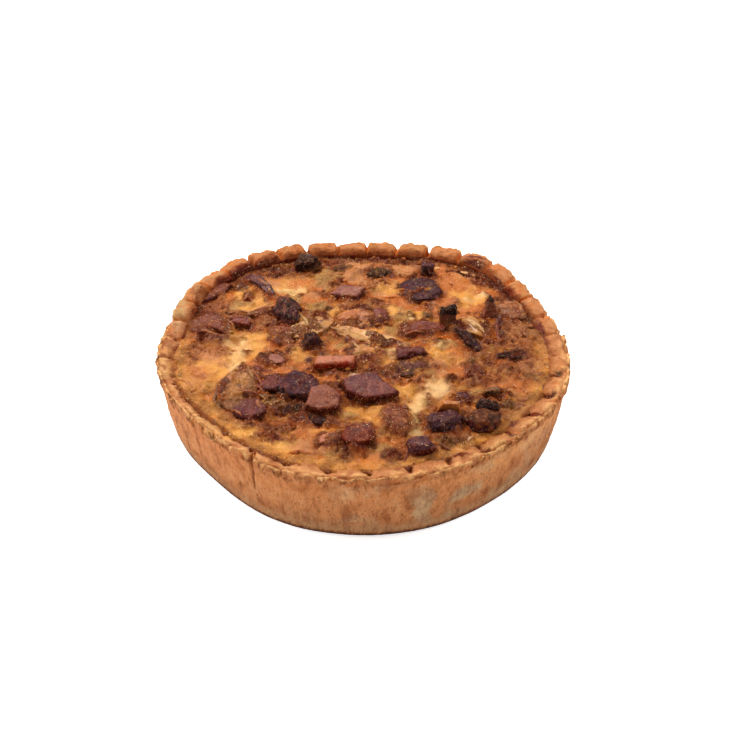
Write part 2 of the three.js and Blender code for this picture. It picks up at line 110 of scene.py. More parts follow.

# Strokes laid over the custard: tint, x, y, half length, half width, and then a turn in degrees and a
# strength for those that are turned or thin. Later strokes cover earlier ones. Some dark strokes are painted
# shadow, in front of pieces and at the rim's foot.
STROKES = (
    # back left
    ("tan", -44, 22, 8, 12, 30), ("brown", -49, 23, 3, 8, 15), ("rust", -48, 17, 4, 3),
    ("brown", -24, 45, 7, 3, 25), ("tan", -22, 40.5, 6, 3, 10), ("rust", -10, 48.5, 7, 2.5, -5),
    # painted shadow: the char strip at -4, 51.5 along the rim's foot
    ("peach", -2, 47, 6, 2), ("brown", 3, 50.5, 8, 1.2), ("char", -4, 51.5, 4, 0.8),
    ("gold", -37, 30, 4, 5, 10), ("orange", -41.5, 27, 1.4, 4.5, -5), ("rust", -35.5, 27.5, 1.6, 4),
    ("gold", -32, 24, 2.2, 4), ("khaki", -37, 21.5, 4, 3), ("gold", -34, 20, 4, 2),
    ("gold", -24, 35, 9, 5, 8), ("cream", -25, 31.3, 6, 1.8, 10), ("cream", -21, 33, 3.5, 2),
    ("peach", -28.5, 36, 3, 2.2), ("orange", -29.5, 39, 3.6, 1.8, -10), ("orange", -15, 33.5, 2.6, 2.6),
    ("gold", -19, 36.5, 3, 2), ("khaki", -14, 38.5, 5, 3.4), ("khaki", -13, 43, 3, 2.4),
    ("khaki", -7.5, 40.5, 3, 2), ("moss", -8, 44.3, 3, 1.7, -10), ("olive", -6, 46.3, 3, 1),
    ("peach", -3.5, 41, 3.6, 3.2), ("peach", -2.5, 37.3, 4, 2.2), ("orange", -4, 35.3, 3, 0.8),
    ("char", -19.5, 41.6, 2, 0.6), ("wine", -39.5, 37, 4, 1.6, 28), ("wine", -31, 44.6, 5, 1.6, 18),
    ("rust", -35, 43.5, 2, 1.5), ("khaki", -21, 26.5, 2.4, 4, 10), ("cream", -22.5, 30, 2.5, 1.2),
    ("orange", -15, 27.3, 4, 3.8), ("peach", -16, 28.5, 2.5, 1.8), ("brown", -10.5, 30, 2, 2.6, 40),
    # painted shadow: the wine stroke at -4.5, 27 in front of ham_back
    ("wine", -4.5, 27, 5, 1.3, 5), ("khaki", -15, 21, 4, 3), ("gold", -8, 18.5, 4, 3),
    ("olive", -12, 18, 2, 1.8), ("moss", -9.8, 20.5, 1.4, 1.2), ("tan", -3.5, 21.5, 5, 2.4),
    ("rust", 1, 20, 3, 2), ("orange", -4, 15.5, 4.5, 4), ("orange", -1.2, 9.3, 2, 0.9),
    ("brown", -41, 13.5, 3, 1.6), ("moss", -40, 17.7, 2, 0.6, -8), ("mauve", -46, 5, 6, 2, -8),
    ("brown", -43, 7, 3.6, 1.8), ("moss", -41.5, 6.4, 1.3, 0.9), ("tan", -30, 13.5, 4, 2.6),
    ("mauve", -33, 9.8, 1.8, 2, -40), ("gold", -31, 6.2, 4, 2.2), ("cream", -36, 2, 4.6, 2.6),
    ("gold", -30.5, 2.5, 3.6, 2.6), ("brown", -27, 12, 3, 2.4), ("olive", -20, 8, 2.4, 4.4),
    ("khaki", -16.6, 11.5, 2.6, 4, -20), ("khaki", -13.5, 8.5, 2, 3, -30), ("brown", -14.4, 14.4, 1, 1.1),
    # painted shadow: the moss line at -6, 3.3
    ("brown", -8.6, 8.5, 0.9, 2.4, 30), ("moss", -6, 3.3, 3.4, 1, -40), ("khaki", -1.5, 4.5, 3, 2.4, -30),
    ("wine", -37, 34.6, 5, 2, 33), ("wine", -29, 41, 6, 1.8, 20), ("plum", -20.5, 44, 3, 1.4, 8),
    ("char", -34.5, 37.4, 2.6, 0.9, 40), ("tan", -46, 25, 4, 6, 20, 0.6), ("orange", -20, 37, 5, 2.6),
    ("gold", -30, 5, 5, 2),
    # back right
    ("peach", 0, 45, 3, 2), ("peach", 12.5, 44.5, 5, 3.4), ("brown", 12, 49, 6, 1.6),
    ("mauve", 5, 50.3, 4, 1.3), ("slate", 13.5, 48.9, 1.3, 0.9), ("olive", 16.5, 50, 3, 1.2),
    ("brown", 25, 49.5, 2.6, 1.1), ("olive", 29, 48.3, 3, 1.6), ("orange", 26, 43, 4, 4.5),
    ("orange", 29, 38, 6, 6), ("gold", 31, 37, 3, 4), ("rust", 36.5, 38, 4, 4.4),
    ("wine", 35.5, 45.2, 5, 2.4, -15), ("mauve", 36.5, 48.6, 4, 1, -20), ("wine", 42, 34.7, 2, 3.8, 10),
    ("wine", 28, 43.4, 1.1, 0.9), ("orange", 37, 32, 4, 2.4), ("gold", 33, 33.5, 3, 2.4),
    ("peach", 28, 32.6, 2, 3.4), ("cream", 34.5, 27.6, 5, 2.6), ("orange", 33.5, 20.8, 5, 5),
    ("gold", 31, 24, 2, 3), ("orange", 42, 30, 3, 1.8), ("gold", 8, 31, 4.6, 4.6),
    ("olive", 11.5, 33.5, 1.6, 2), ("peach", 4.6, 29, 2.6, 2), ("orange", 8.5, 26.5, 4, 2),
    ("orange", 2.4, 27.6, 1.8, 1.4), ("char", 8, 24, 0.6, 1, 20), ("orange", 10.5, 23, 3, 2),
    ("gold", 9, 19, 2.4, 3), ("orange", 25, 26, 4, 4.5), ("rust", 27.3, 29.5, 1.8, 1.4),
    ("amber", 16, 20.8, 3.4, 2.2), ("khaki", 13.6, 18.3, 2, 2), ("char", 13.8, 17.8, 0.4, 0.4),
    ("khaki", 11, 14.5, 3, 3), ("gold", 17.5, 17, 2.2, 2.6), ("cream", 14.6, 15, 0.9, 0.9),
    ("olive", 20, 16.2, 1.6, 1.6), ("orange", 22, 19, 1, 4, 10), ("gold", 4, 8.7, 3.6, 1.4),
    ("khaki", 8.5, 9, 2.4, 2.4), ("cream", 2.4, 6, 3, 1.6), ("cream", 7.5, 5.6, 2, 1.2),
    ("moss", 8.2, 3.2, 2.2, 1.4), ("char", 9, 2.4, 1.4, 0.6, -10), ("orange", 13.6, 6.3, 2, 1),
    ("rust", 17, 5, 2, 1), ("cream", 11.5, 1, 2, 1.2), ("amber", 16.5, 1, 3.4, 1.5),
    # painted shadow: the moss stroke at 22.5, 3
    ("amber", 24, 5.2, 4, 1.8), ("moss", 22.5, 3, 2.6, 0.9), ("wine", 29.7, 5.2, 2.4, 2.6),
    ("olive", 24.5, 8.4, 3, 1.8), ("char", 27.6, 11.5, 1.2, 0.7), ("khaki", 25.5, 1.4, 3.4, 1.6),
    ("amber", 38, 5, 1.4, 4), ("rust", 37.6, 1, 2, 1.2), ("brown", 45.5, 9, 6, 7), ("tan", 45, 4, 6, 3),
    ("mauve", 52, 7, 1.4, 6, 5), ("plum", 40.3, 9, 1, 6), ("char", 50, 14, 0.6, 1.2, 10),
    ("brown", 35, 15.4, 2.4, 0.8), ("brown", 44, 26, 4, 3), ("wine", 33, 42, 6, 1.8, -22),
    ("wine", 41, 35.5, 4.4, 1.8, -40), ("rust", 45, 30, 3, 2, -50), ("orange", 29, 34, 6, 8),
    ("gold", 31, 29, 5, 3.5), ("gold", 33.5, 25.5, 4, 3), ("cream", 33, 26.6, 2.6, 1.6),
    ("tan", 45, 9, 5, 4, 0, 0.5), ("tan", 49.5, -3, 4, 8, 0, 0.8), ("mauve", 52, 3, 1.6, 7, 5, 0.6),
    ("tan", 40, -6, 6, 3, 0, 0.6), ("peach", 46, -7, 5, 2, 0, 0.5), ("peach", 44, 22, 4, 3, 0, 0.5),
    # front left
    ("tan", -46, -2, 5, 4), ("orange", -44, -8, 6, 5), ("tan", -44, -17, 6, 6), ("peach", -44, -7, 6, 5),
    ("gold", -42, -12, 4, 4), ("peach", -46, -17, 4, 5), ("cream", -35.8, -7, 2.6, 7, -6),
    ("gold", -38.6, -14, 2, 4), ("brown", -33.2, -1.4, 1.2, 1.3), ("gold", -29.5, -3, 3, 3),
    ("rust", -51.5, -1.8, 2, 2.4), ("brown", -51.4, -1.6, 1.2, 1.3), ("wine", -51.3, -6.6, 1.5, 2),
    ("rust", -49.5, -5.6, 3, 1.2), ("wine", -50.5, -13.4, 0.7, 2), ("peach", -46.5, -14, 3, 2),
    ("olive", -42, -19, 2, 3), ("gold", -46, -8.3, 1.6, 1.6), ("orange", -27, -3, 2, 1.5),
    ("gold", -18.4, -4.6, 2.4, 4.4), ("orange", -17, -9.6, 1.8, 2.2), ("orange", -21, -8.6, 2.4, 2),
    ("orange", -23.5, -12, 3.4, 1.8), ("mauve", -28.5, -11.6, 3, 1.6), ("rust", -47, -23.6, 4, 1.6, -38),
    ("orange", -41.5, -24, 2, 3), ("moss", -38, -27.5, 1.8, 3.4), ("olive", -24, -26, 3, 3),
    ("khaki", -26, -27.2, 1.2, 0.9), ("rust", -22, -30.5, 2.4, 1.8), ("mauve", -33, -34.3, 4.4, 2.4),
    ("brown", -23, -36, 4.4, 3.4), ("orange", -22, -35.5, 2.4, 2), ("rust", -20, -36, 3, 2.2),
    ("rust", -28.5, -40, 2.6, 2.6), ("rust", -22, -41.6, 5, 1.2, 8), ("orange", -15, -39, 3, 2),
    ("gold", -11, -38.5, 3, 1.5), ("gold", -20, -44.6, 6, 2.2, 6), ("khaki", -17.5, -43.4, 2.6, 1.2),
    ("amber", -16, -47.8, 3.2, 1.3, 8), ("rust", -15.2, -47.8, 2, 0.7, 8),
    ("amber", -10.4, -49.4, 1.4, 0.9, 10), ("tan", -11, -46, 2.6, 1.5), ("khaki", -7.4, -47.5, 2.2, 3),
    ("brown", -5, -44.6, 2.6, 3), ("wine", -4, -46.6, 1, 2), ("plum", -4.2, -50.6, 1.2, 0.9),
    # painted shadow: the wine stroke at -16.6, -28.6 in front of ham_square
    ("orange", 0.5, -49.5, 3, 3), ("wine", -16.6, -28.6, 3.4, 2.2, -20), ("wine", -24.6, -21, 2.4, 1.8, -20),
    ("rust", -28.5, -19.6, 1.6, 2.4), ("mauve", -6.6, -25, 1.6, 4), ("plum", -6.2, -19.4, 1.4, 1.6),
    ("gold", -6.6, -16.7, 0.9, 0.9), ("orange", -8.6, -16.2, 1.8, 1.6), ("mauve", -9, -13.6, 3.6, 1.2),
    # painted highlight: the white glossy spot at -1.4, -13.4
    ("pearl", -1.4, -13.4, 2.2, 1.2), ("slate", -3.6, -2.4, 2, 1), ("khaki", -6.6, 0, 2, 1.4),
    ("wine", -12.6, -2.4, 2.4, 1.2), ("plum", -15.4, -7, 1, 2), ("gold", -2.4, -29.4, 3.6, 2),
    ("khaki", -4, -31.6, 2.4, 1.4), ("tan", -7, -34.6, 3, 2), ("rust", -17.4, -33.4, 2, 1.2),
    # painted shadow: the char strokes at -18, -25 and -18.5, -30 in front of ham_square and the gills
    ("plum", -21, -18, 3.5, 3), ("char", -18, -25, 2, 5), ("wine", -24.5, -21, 3, 1.6, -20),
    ("char", -18.5, -30, 3.4, 2), ("plum", -24.5, -16, 3, 2.4), ("peach", -12, -44, 7, 2.6, 8),
    ("gold", -31, -40.6, 5, 1.6, 30),
    # front right
    ("peach", 3, -46.5, 3, 2.6), ("amber", 12, -18.4, 2.8, 1.2), ("peach", 22, -10, 5, 4),
    ("gold", 15, -11, 5, 4), ("gold", 25, -5, 5, 4), ("gold", 9, -8, 4, 5), ("rust", 3, -11, 1.6, 3),
    ("wine", 2, -12.4, 1.6, 1.6), ("cream", 8, -3, 1.6, 3.4, 8), ("khaki", 5.6, -1, 1.6, 1.6),
    ("char", 12, -6, 2.6, 1), ("gold", 20.5, -3.4, 4, 2.6), ("cream", 22, 0, 2.4, 1.2),
    ("khaki", 18, -13, 2.4, 1.8), ("orange", 28, -2, 4, 5), ("tan", 31, -4, 3, 4),
    ("olive", 31, -7.6, 1.8, 1), ("brown", 35.4, -7, 2, 2.4), ("brown", 44, -10, 6, 2.4),
    ("rust", 47.4, -11, 2, 1.6), ("rust", 31, -13.5, 6, 4.6), ("brown", 32.5, -16, 3, 2),
    ("orange", 26.5, -12.5, 2.6, 3.8), ("peach", 22, -12.4, 2, 2), ("olive", 47, -15, 3, 1.8),
    ("moss", 50, -12.6, 1, 0.9), ("moss", 54.4, -14, 1.2, 0.8), ("orange", 41, -19.5, 5, 2.4),
    ("peach", 40, -22, 2.4, 0.8), ("wine", 45.4, -24.4, 2.2, 1.2, -35), ("wine", 51.4, -24.2, 0.9, 1.3),
    ("rust", 45, -32.4, 1.6, 0.9, -30), ("wine", 38.4, -41, 1.8, 0.8, -25),
    ("mauve", 42, -28.5, 2.6, 3.6, 10), ("olive", 38.6, -26.6, 2, 3), ("amber", 37.6, -24.6, 1.6, 1.4),
    ("khaki", 31.6, -22, 2, 1.8), ("wine", 28, -26, 0.9, 3.6), ("cream", 20.5, -19.4, 3.6, 4.6),
    ("cream", 15.6, -24, 2, 5), ("khaki", 17.4, -26, 1.6, 2.4), ("gold", 11.6, -19.6, 3.2, 3.4),
    # painted shadow: the wine stroke at 3.6, -27 in front of ham_broad
    ("amber", 11, -17.4, 2.4, 1), ("cream", 13.6, -28, 2, 3.4), ("wine", 3.6, -27, 4, 0.9, 8),
    ("gold", 3, -31.6, 2.8, 4), ("olive", 6, -35.6, 1.6, 2.4), ("brown", 9.6, -38, 2.6, 2.4),
    ("olive", 14, -33.4, 1.8, 3), ("cream", 14, -38.4, 2, 1.6), ("orange", 16.8, -36.6, 0.7, 3.4),
    ("orange", 7, -41.8, 3.4, 1.6), ("khaki", 4.6, -45.4, 3.2, 2.4), ("rust", 8, -48.4, 2.8, 3),
    ("orange", 3.4, -50.4, 2.4, 2), ("char", 14, -49.2, 2.4, 0.8, -10), ("slate", 18, -49.8, 2.2, 1.6),
    ("wine", 21, -47.6, 0.9, 0.9), ("brown", 21.6, -50, 1.2, 1.6), ("olive", 21, -43, 2.8, 2.4),
    # painted highlight: the white glint at 27, -41.2
    ("wine", 26.6, -43, 3.6, 2), ("pearl", 27, -41.2, 0.9, 0.4, 30), ("brown", 31, -47.8, 1.6, 1.4),
    ("mauve", 38.6, -35.4, 1.6, 2.4), ("char", 33, -39.8, 3.2, 0.5, 8), ("rust", 24.6, -48.4, 2.4, 1),
    # broad tones laid last: the skin at the sides, under the boat, between the pieces
    ("tan", -48, 24, 3, 4, 15, 0.5), ("khaki", -25, 30.5, 4, 1.4, 8, 0.5),
    ("khaki", -18, 6, 3.6, 2.8, -15, 0.7), ("toast", -49, -6, 3, 3.4, 0, 0.5),
    ("orange", -46, -12, 5.4, 3, -10, 0.5), ("gold", -37, -6, 4, 3, 0, 0.5),
    ("khaki", 6, 0.5, 2.6, 3, 10, 0.55), ("tan", 24, -5.5, 3.4, 2.4, 0, 0.45),
    ("khaki", 24, 0.5, 3.4, 2, 5, 0.5), ("peach", 46, 12, 4, 7, 10, 0.55), ("peach", 41, 20, 3, 4, 0, 0.5),
    ("gold", -42, -18, 3, 3.4, 20, 0.6), ("gold", 12, -24, 3, 3.2, 0, 0.5),
    ("peach", 18, 42, 4, 2.4, -5, 0.4), ("toast", -12, 30, 3.4, 2, 0, 0.4),
    ("tan", -18, -6, 2.4, 2.4, 0, 0.35), ("gold", -36, 6, 4, 2.2, 0, 0.45),
    ("orange", -11, -36, 4, 3, 0, 0.6), ("orange", 37, -18, 5, 3, -15, 0.5),
    ("orange", -24, 0, 2.6, 3, 0, 0.5), ("khaki", 12, -35.5, 3, 3, 0, 0.4),
    ("peach", -30, 12, 4, 2.4, 0, 0.4), ("brown", -6, 6, 2.4, 2, -30, 0.45), ("tan", 0, 0, 3, 2.4, 0, 0.4),
    ("peach", -18, 42, 4, 2.4, 12, 0.35), ("peach", 46.5, -9.5, 4, 3.6, 0, 0.7),
    ("orange", 45, -17, 3, 2, 0, 0.4), ("wine", 42, -5, 5, 1.1), ("char", 41.9, -3.6, 4.6, 1),
    ("peach", 42, -7, 3, 1, 0, 0.5),
)


# ---- Small tools ----
def seeded(seed):
    """A Lehmer generator: the same draws between 0 and 1 each run, as the solids use."""
    factor, modulus = 16807, 2147483647
    state = seed
    while True:
        state = state * factor % modulus
        yield state / modulus


def between(ends, share):
    """A share of the way from one end to the other."""
    return ends[0] + (ends[1] - ends[0]) * share


def waves(rows, angle):
    """A sum of waves round the quiche, each as a row of lobes, size and the degrees of a peak."""
    return sum(size * np.cos(lobes * (angle - math.radians(peak))) for lobes, size, peak in rows)


def swell(angle):
    """How far the outline stands outside its circle."""
    return waves(OUT_OF_ROUND, angle)


def smooth(value, low, high):
    """0 below low, 1 above high and an easy curve between; low may be the higher."""
    share = np.clip((value - low) / (high - low), 0, 1)
    return share * share * (3 - 2 * share)


def bump(value, middle, reach):
    """1 at the middle, falling to nothing at either side."""
    return np.exp(-(((value - middle) / reach) ** 2))


SEED_SHIFT = 7.31  # how far apart two seeds' clouds are, in lumps


def clouds(points, grain, seed=0, octaves=3, stretch=(1, 1, 1)):
    """Fractal noise, about -1 to 1, with lumps of that many millimetres."""
    scaled = points / (grain * np.array(stretch)) + seed * SEED_SHIFT
    return np.array([noise.fractal(p, 1, 2, octaves) for p in scaled])


def jostled(points, by, grain, seed):
    """The points moved by noise, at most about so many millimetres each way."""
    return points + by * np.stack([clouds(points, grain, seed + i) for i in range(3)], axis=1)


def corners(mesh):
    """A mesh's corners in millimetres."""
    flat = np.empty(len(mesh.vertices) * 3, np.float32)
    mesh.vertices.foreach_get("co", flat)
    return flat.reshape(-1, 3).astype(float) / MM


def move_to(mesh, points):
    """Puts a mesh's corners at points in millimetres."""
    mesh.vertices.foreach_set("co", (points * MM).astype(np.float32).ravel())
    mesh.update()


def facing(mesh):
    """The way a mesh faces at each corner."""
    flat = np.empty(len(mesh.vertices) * 3, np.float32)
    mesh.vertex_normals.foreach_get("vector", flat)
    return flat.reshape(-1, 3).astype(float)


def finished(bm, name):
    """The mesh of a bmesh, which is then let go."""
    mesh = bpy.data.meshes.new(name)
    bm.to_mesh(mesh)
    bm.free()
    return mesh


def template(name, operator, **settings):
    """A mesh made by one bmesh operator."""
    bm = bmesh.new()
    operator(bm, **settings)
    return finished(bm, name)


def add_copy(bm, mesh, matrix):
    """Adds a mesh to a bmesh, moved by a matrix."""
    mesh.transform(matrix)
    bm.from_mesh(mesh)
    mesh.transform(matrix.inverted())


ABOVE = 60  # rays start at this height, over everything
DOWN = Vector((0, 0, -1))


def tree_over(*meshes):
    """A search tree over the faces of meshes, in millimetres."""
    verts, faces = [], []
    for mesh in meshes:
        start = len(verts)
        verts += [v.co / MM for v in mesh.vertices]
        faces += [[start + i for i in face.vertices] for face in mesh.polygons]
    return BVHTree.FromPolygons(verts, faces)


def somewhere(draws, radius):
    """An x and y anywhere within the radius."""
    turn, far = 2 * math.pi * next(draws), radius * math.sqrt(next(draws))
    return far * math.cos(turn), far * math.sin(turn) + MIDDLE_Y


def linear(code):
    """An sRGB hex colour as linear red, green and blue."""
    channels = (int(code[i : i + 2], 16) / 255 for i in (1, 3, 5))
    return [c / 12.92 if c <= 0.04045 else ((c + 0.055) / 1.055) ** 2.4 for c in channels]


PAINT = {name: np.array([*linear(code), *rest]) for name, (code, *rest) in TINTS.items()}
WET, GRAIN, LIFT = 3, 4, 5  # the columns of a tint after its red, green and blue


class Coat:
    """The colour, wetness and granularity of a mesh at each corner, laid on in layers: baked colour, with
    painted shade and light in places.
    """

    def __init__(self, points, tint, seed=0, wander=1.0):
        self.layers = np.tile(PAINT[tint], (len(points), 1))
        self.grit = clouds(points, 0.9, seed)
        drift = [wander * (0.8 * clouds(points, 4, seed + i) + 0.4 * clouds(points, 1.3, seed + i + 2))
                 for i in (1, 2)]
        self.x, self.y = points[:, 0] + drift[0], points[:, 1] + drift[1]

    def lay(self, tint, share):
        """Covers what is there by a share from 0 to 1 at each corner."""
        share = np.clip(share, 0, 1)[:, None]
        self.layers = self.layers * (1 - share) + PAINT[tint] * share

    def stroke(self, tint, x, y, half_length, half_width, turn=0, strength=0.9):
        """A patch with ragged, granular edges."""
        cos, sin = math.cos(math.radians(turn)), math.sin(math.radians(turn))
        dx, dy = self.x - x, self.y - (y + MIDDLE_Y)
        away = np.hypot((dx * cos + dy * sin) / half_length, (dy * cos - dx * sin) / half_width)
        ragged = 0.12 + 0.4 * PAINT[tint][GRAIN]
        self.lay(tint, strength * smooth(1 - away + ragged * self.grit, -0.3, 0.5))

    def shade_hollows_light_tops(self, lumps, strength=1.0):
        """Paints shade into the hollows of the grain and the lumps and paints light onto their tops."""
        rough = strength * smooth(self.layers[:, GRAIN], 0.1, 0.8)
        self.lay("rust", 0.5 * rough * smooth(lumps, -0.1, -0.6))
        self.lay("peach", 0.25 * rough * smooth(lumps, 0.15, 0.7))
        self.lay("wine", 0.6 * rough * smooth(self.grit, -0.2, -0.5))
        self.lay("peach", 0.35 * rough * smooth(self.grit, 0.2, 0.6))

    def dry(self, mesh):
        """Puts the coat on the mesh as attributes that its material reads."""
        colours = mesh.attributes.new("baked", "FLOAT_COLOR", "POINT")
        rgba = np.concatenate([self.layers[:, :3], np.ones((len(self.layers), 1))], axis=1)
        colours.data.foreach_set("color", rgba.astype(np.float32).ravel())
        for name, column in (("wet", WET), ("grain", GRAIN)):
            attribute = mesh.attributes.new(name, "FLOAT", "POINT")
            attribute.data.foreach_set("value", self.layers[:, column].astype(np.float32))


SWELL_GRAIN = 4.2  # mm across the custard's swellings
WRINKLE_GRAIN = 3.4  # mm between its wrinkles


def grain_of(mesh):
    """How granular the coat on a mesh is at each corner."""
    values = np.empty(len(mesh.vertices), np.float32)
    mesh.attributes["grain"].data.foreach_get("value", values)
    return values


def creased(points, grain, seed, stretch=(1, 1, 1)):
    """Noise like a skin that dried and wrinkled: rounded swellings at 1 between sharp creases at -1."""
    return np.minimum(3.2 * np.abs(clouds(points, grain, seed, stretch=stretch)), 2) - 1


def browned(points, seed=0):
    """The coat of the custard's skin at any points: a mottled ground, the strokes over it, and its grain,
    with painted shade in its creases and hollows and painted light on its ridges.
    """
    coat = Coat(points, "tan", seed)
    swells = clouds(points, SWELL_GRAIN, 27)
    coat.lay("orange", smooth(clouds(points, 7, 22), -0.1, 0.5))
    coat.lay("khaki", 0.6 * smooth(clouds(points, 6, 24), 0.2, 0.6))
    coat.lay("brown", 0.7 * smooth(swells, 0.1, 0.5))
    coat.lay("gold", 0.6 * smooth(swells, -0.1, -0.5))
    for stroke in STROKES:
        coat.stroke(*stroke)
    rough = smooth(coat.layers[:, GRAIN], 0.15, 0.6)
    coat.lay("brown", 0.4 * rough * smooth(swells, 0.15, 0.6))
    coat.lay("amber", 0.3 * smooth(swells, -0.2, -0.6))
    wrinkles = creased(points, WRINKLE_GRAIN, 29)
    # painted shade in the creases of the wrinkles and painted light on their swellings
    coat.lay("rust", 0.65 * rough * smooth(wrinkles, -0.6, -0.95))
    coat.lay("peach", 0.3 * rough * smooth(wrinkles, 0.2, 1))
    # painted shade in the hollows and painted light on the tops of the skin's lumps
    coat.shade_hollows_light_tops(clouds(points, 2.2, 25))
    return coat


def place(name, mesh, material, slot, *nodes):
    """Makes a finished mesh a piece of the quiche."""
    piece = bpy.data.objects.new(name, mesh)
    bpy.context.scene.collection.objects.link(piece)
    mesh.materials.clear()
    mesh.materials.append(material)
    mesh.shade_smooth()
    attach(piece, "root")
    if nodes:
        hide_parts(*nodes)
    return piece


# ---- Materials ----
def node(tree, kind, settings=None, links=None):
    """Adds a node: settings are its own properties or its sockets' values, links feed its sockets."""
    made = tree.nodes.new(kind)
    for name, value in (settings or {}).items():
        if isinstance(name, str) and hasattr(made, name):
            setattr(made, name, value)
        else:
            made.inputs[name].default_value = value
    for socket, source in (links or {}).items():
        tree.links.new(source, made.inputs[socket])
    return made


# What the marks are mixed in with: patches and pits of baking darken, pale patches and dots lighten, and
# glints are painted highlights.
PATCH_SHADE = "#8c421e"
PIT_SHADE = "#742f10"
PALE = "#5c3e20"
DOTS = "#a06c3c"
DULL = "#3c2830"  # pale patches and dots on dark food
DULL_DOTS = "#6a4650"
GLINT = "#ffd4a0"
GLINT_GRAIN = 0.45  # mm between the wet glints
GLINT_FROM, GLINT_WHOLE = 0.665, 0.695  # how high the noise is where a glint starts and is whole
SCATTER = (1, 0.4, 0.15)  # how far red, green and blue light wander in the food, as shares of its depth
SCATTER_DEPTH = 1.2


def baked_food(name, *, mottle, speckle, darks, lights, relief, fine, dry, wet, specular=0.3,
               stretch=(1, 1, 1), soft=0.0, pale=PALE, dotted=DOTS):
    """A food whose broad colour is painted on it.

    Mottle and speckle are the grain in mm of its patches and its freckles, darks and lights how strong those
    are, relief and fine its bumps, dry and wet its roughness, pale and dotted its light patches and freckles.
    Specular is how much it shines, stretch how drawn out its marks are, and soft how much light sinks in.
    """
    material = bpy.data.materials.new(name)
    material.use_nodes = True
    tree = material.node_tree
    tree.nodes.clear()
    place_of = node(tree, "ShaderNodeTexCoord").outputs["Object"]
    scale = {"Scale": [1 / s for s in stretch]}
    where = node(tree, "ShaderNodeMapping", scale, {"Vector": place_of}).outputs[0]
    baked, wetness, grain = (node(tree, "ShaderNodeAttribute", {"attribute_name": painted}).outputs[output]
                             for painted, output in (("baked", "Color"), ("wet", "Fac"), ("grain", "Fac")))

    def grains(size, detail, roughness=0.6):
        settings = {"Scale": 1 / (size * MM), "Detail": detail, "Roughness": roughness}
        return node(tree, "ShaderNodeTexNoise", settings, {"Vector": where}).outputs["Fac"]

    def spread(value, low, high, to_low=0, to_high=1):
        settings = {"From Min": low, "From Max": high, "To Min": to_low, "To Max": to_high}
        return node(tree, "ShaderNodeMapRange", settings, {"Value": value}).outputs[0]

    def times(a, b):
        return node(tree, "ShaderNodeMath", {"operation": "MULTIPLY"}, {0: a, 1: b}).outputs[0]

    def blend(kind, share, under, code):
        settings = {"data_type": "RGBA", "blend_type": kind, 7: [*linear(code), 1]}
        return node(tree, "ShaderNodeMix", settings, {0: share, 6: under}).outputs[2]

    patches = grains(mottle, 4, 0.65)
    freckles = grains(speckle, 3, 0.7)
    amount = spread(grain, 0, 1, 0.25, 1)
    colour = baked
    for kind, marks, low, high, most, code in (
        ("MULTIPLY", patches, 0.48, 0.34, darks, PATCH_SHADE),
        ("SCREEN", patches, 0.53, 0.68, lights, pale),
        ("MULTIPLY", freckles, 0.46, 0.35, darks, PIT_SHADE),
        ("SCREEN", freckles, 0.6, 0.7, lights, dotted),
    ):
        colour = blend(kind, times(spread(marks, low, high, 0, most), amount), colour, code)
    # painted highlights: pale glints laid into the colour of wet food
    painted_glints = times(spread(grains(GLINT_GRAIN, 1), GLINT_FROM, GLINT_WHOLE), spread(patches, 0.44, 0.54))
    colour = blend("SCREEN", times(painted_glints, spread(wetness, 0.5, 0.9)), colour, GLINT)
    broad = times(patches, spread(grain, 0, 1, 0.4, 1.6))
    close = times(freckles, spread(grain, 0, 1, fine * 0.4, fine * 1.6))
    height = node(tree, "ShaderNodeMath", {"operation": "ADD"}, {0: broad, 1: close}).outputs[0]
    settings = {"Strength": 1.0, "Distance": relief * MM}
    normal = node(tree, "ShaderNodeBump", settings, {"Height": height}).outputs[0]
    shine = node(tree, "ShaderNodeMath", {"operation": "ADD", "use_clamp": True},
                 {0: spread(wetness, 0, 1, dry, wet), 1: spread(freckles, 0.3, 0.7, -0.12, 0.12)}).outputs[0]
    settings = {"Specular IOR Level": specular, "Subsurface Weight": soft,
                "Subsurface Radius": SCATTER, "Subsurface Scale": SCATTER_DEPTH * MM}
    links = {"Base Color": colour, "Roughness": shine, "Normal": normal}
    shader = node(tree, "ShaderNodeBsdfPrincipled", settings, links).outputs[0]
    node(tree, "ShaderNodeOutputMaterial", {}, {"Surface": shader})
    return material


# Shortcrust, pressed and baked: matt and floury, with fine crumb and faint streaks up the wall.
shortcrust = baked_food("shortcrust_pastry", mottle=2.6, speckle=0.5, darks=0.54, lights=1, relief=0.5,
                        fine=1, dry=0.75, wet=0.4, specular=0.15, stretch=(1, 1, 2.2), pale="#725a44")
# Egg custard, browned on top: smooth and moist in its pools, granular and freckled where it has browned.
custard = baked_food("baked_custard", mottle=1.8, speckle=0.5, darks=0.6, lights=0.6, relief=0.7, fine=1,
                     dry=0.5, wet=0.06, soft=0.25)
# Roast ham: a close, faintly fibrous cut face with small wet glints, partly real shine and partly painted
# highlights.
ham = baked_food("roast_ham", mottle=1.5, speckle=0.5, darks=0.5, lights=0.4, relief=0.3, fine=0.6, dry=0.5,
                 wet=0.2, specular=0.22)
# Mushroom shrunk in the oven: dark, finely wrinkled and oily.
mushroom = baked_food("shrunken_mushroom", mottle=1, speckle=0.45, darks=0.5, lights=0.3, relief=0.4,
                      fine=0.6, dry=0.3, wet=0.1, specular=0.22, pale=DULL, dotted=DULL_DOTS)
# Leek, soft and translucent, with fibres and singed edges.
leek = baked_food("soft_leek", mottle=1.2, speckle=0.5, darks=0.5, lights=0.6, relief=0.35, fine=0.5, dry=0.4,
                  wet=0.14, soft=0.2)
# Onion, browned and glossy with its own sugar.
onion = baked_food("browned_onion", mottle=1.6, speckle=0.55, darks=0.5, lights=0.5, relief=0.4, fine=0.5,
                   dry=0.4, wet=0.15, soft=0.2)
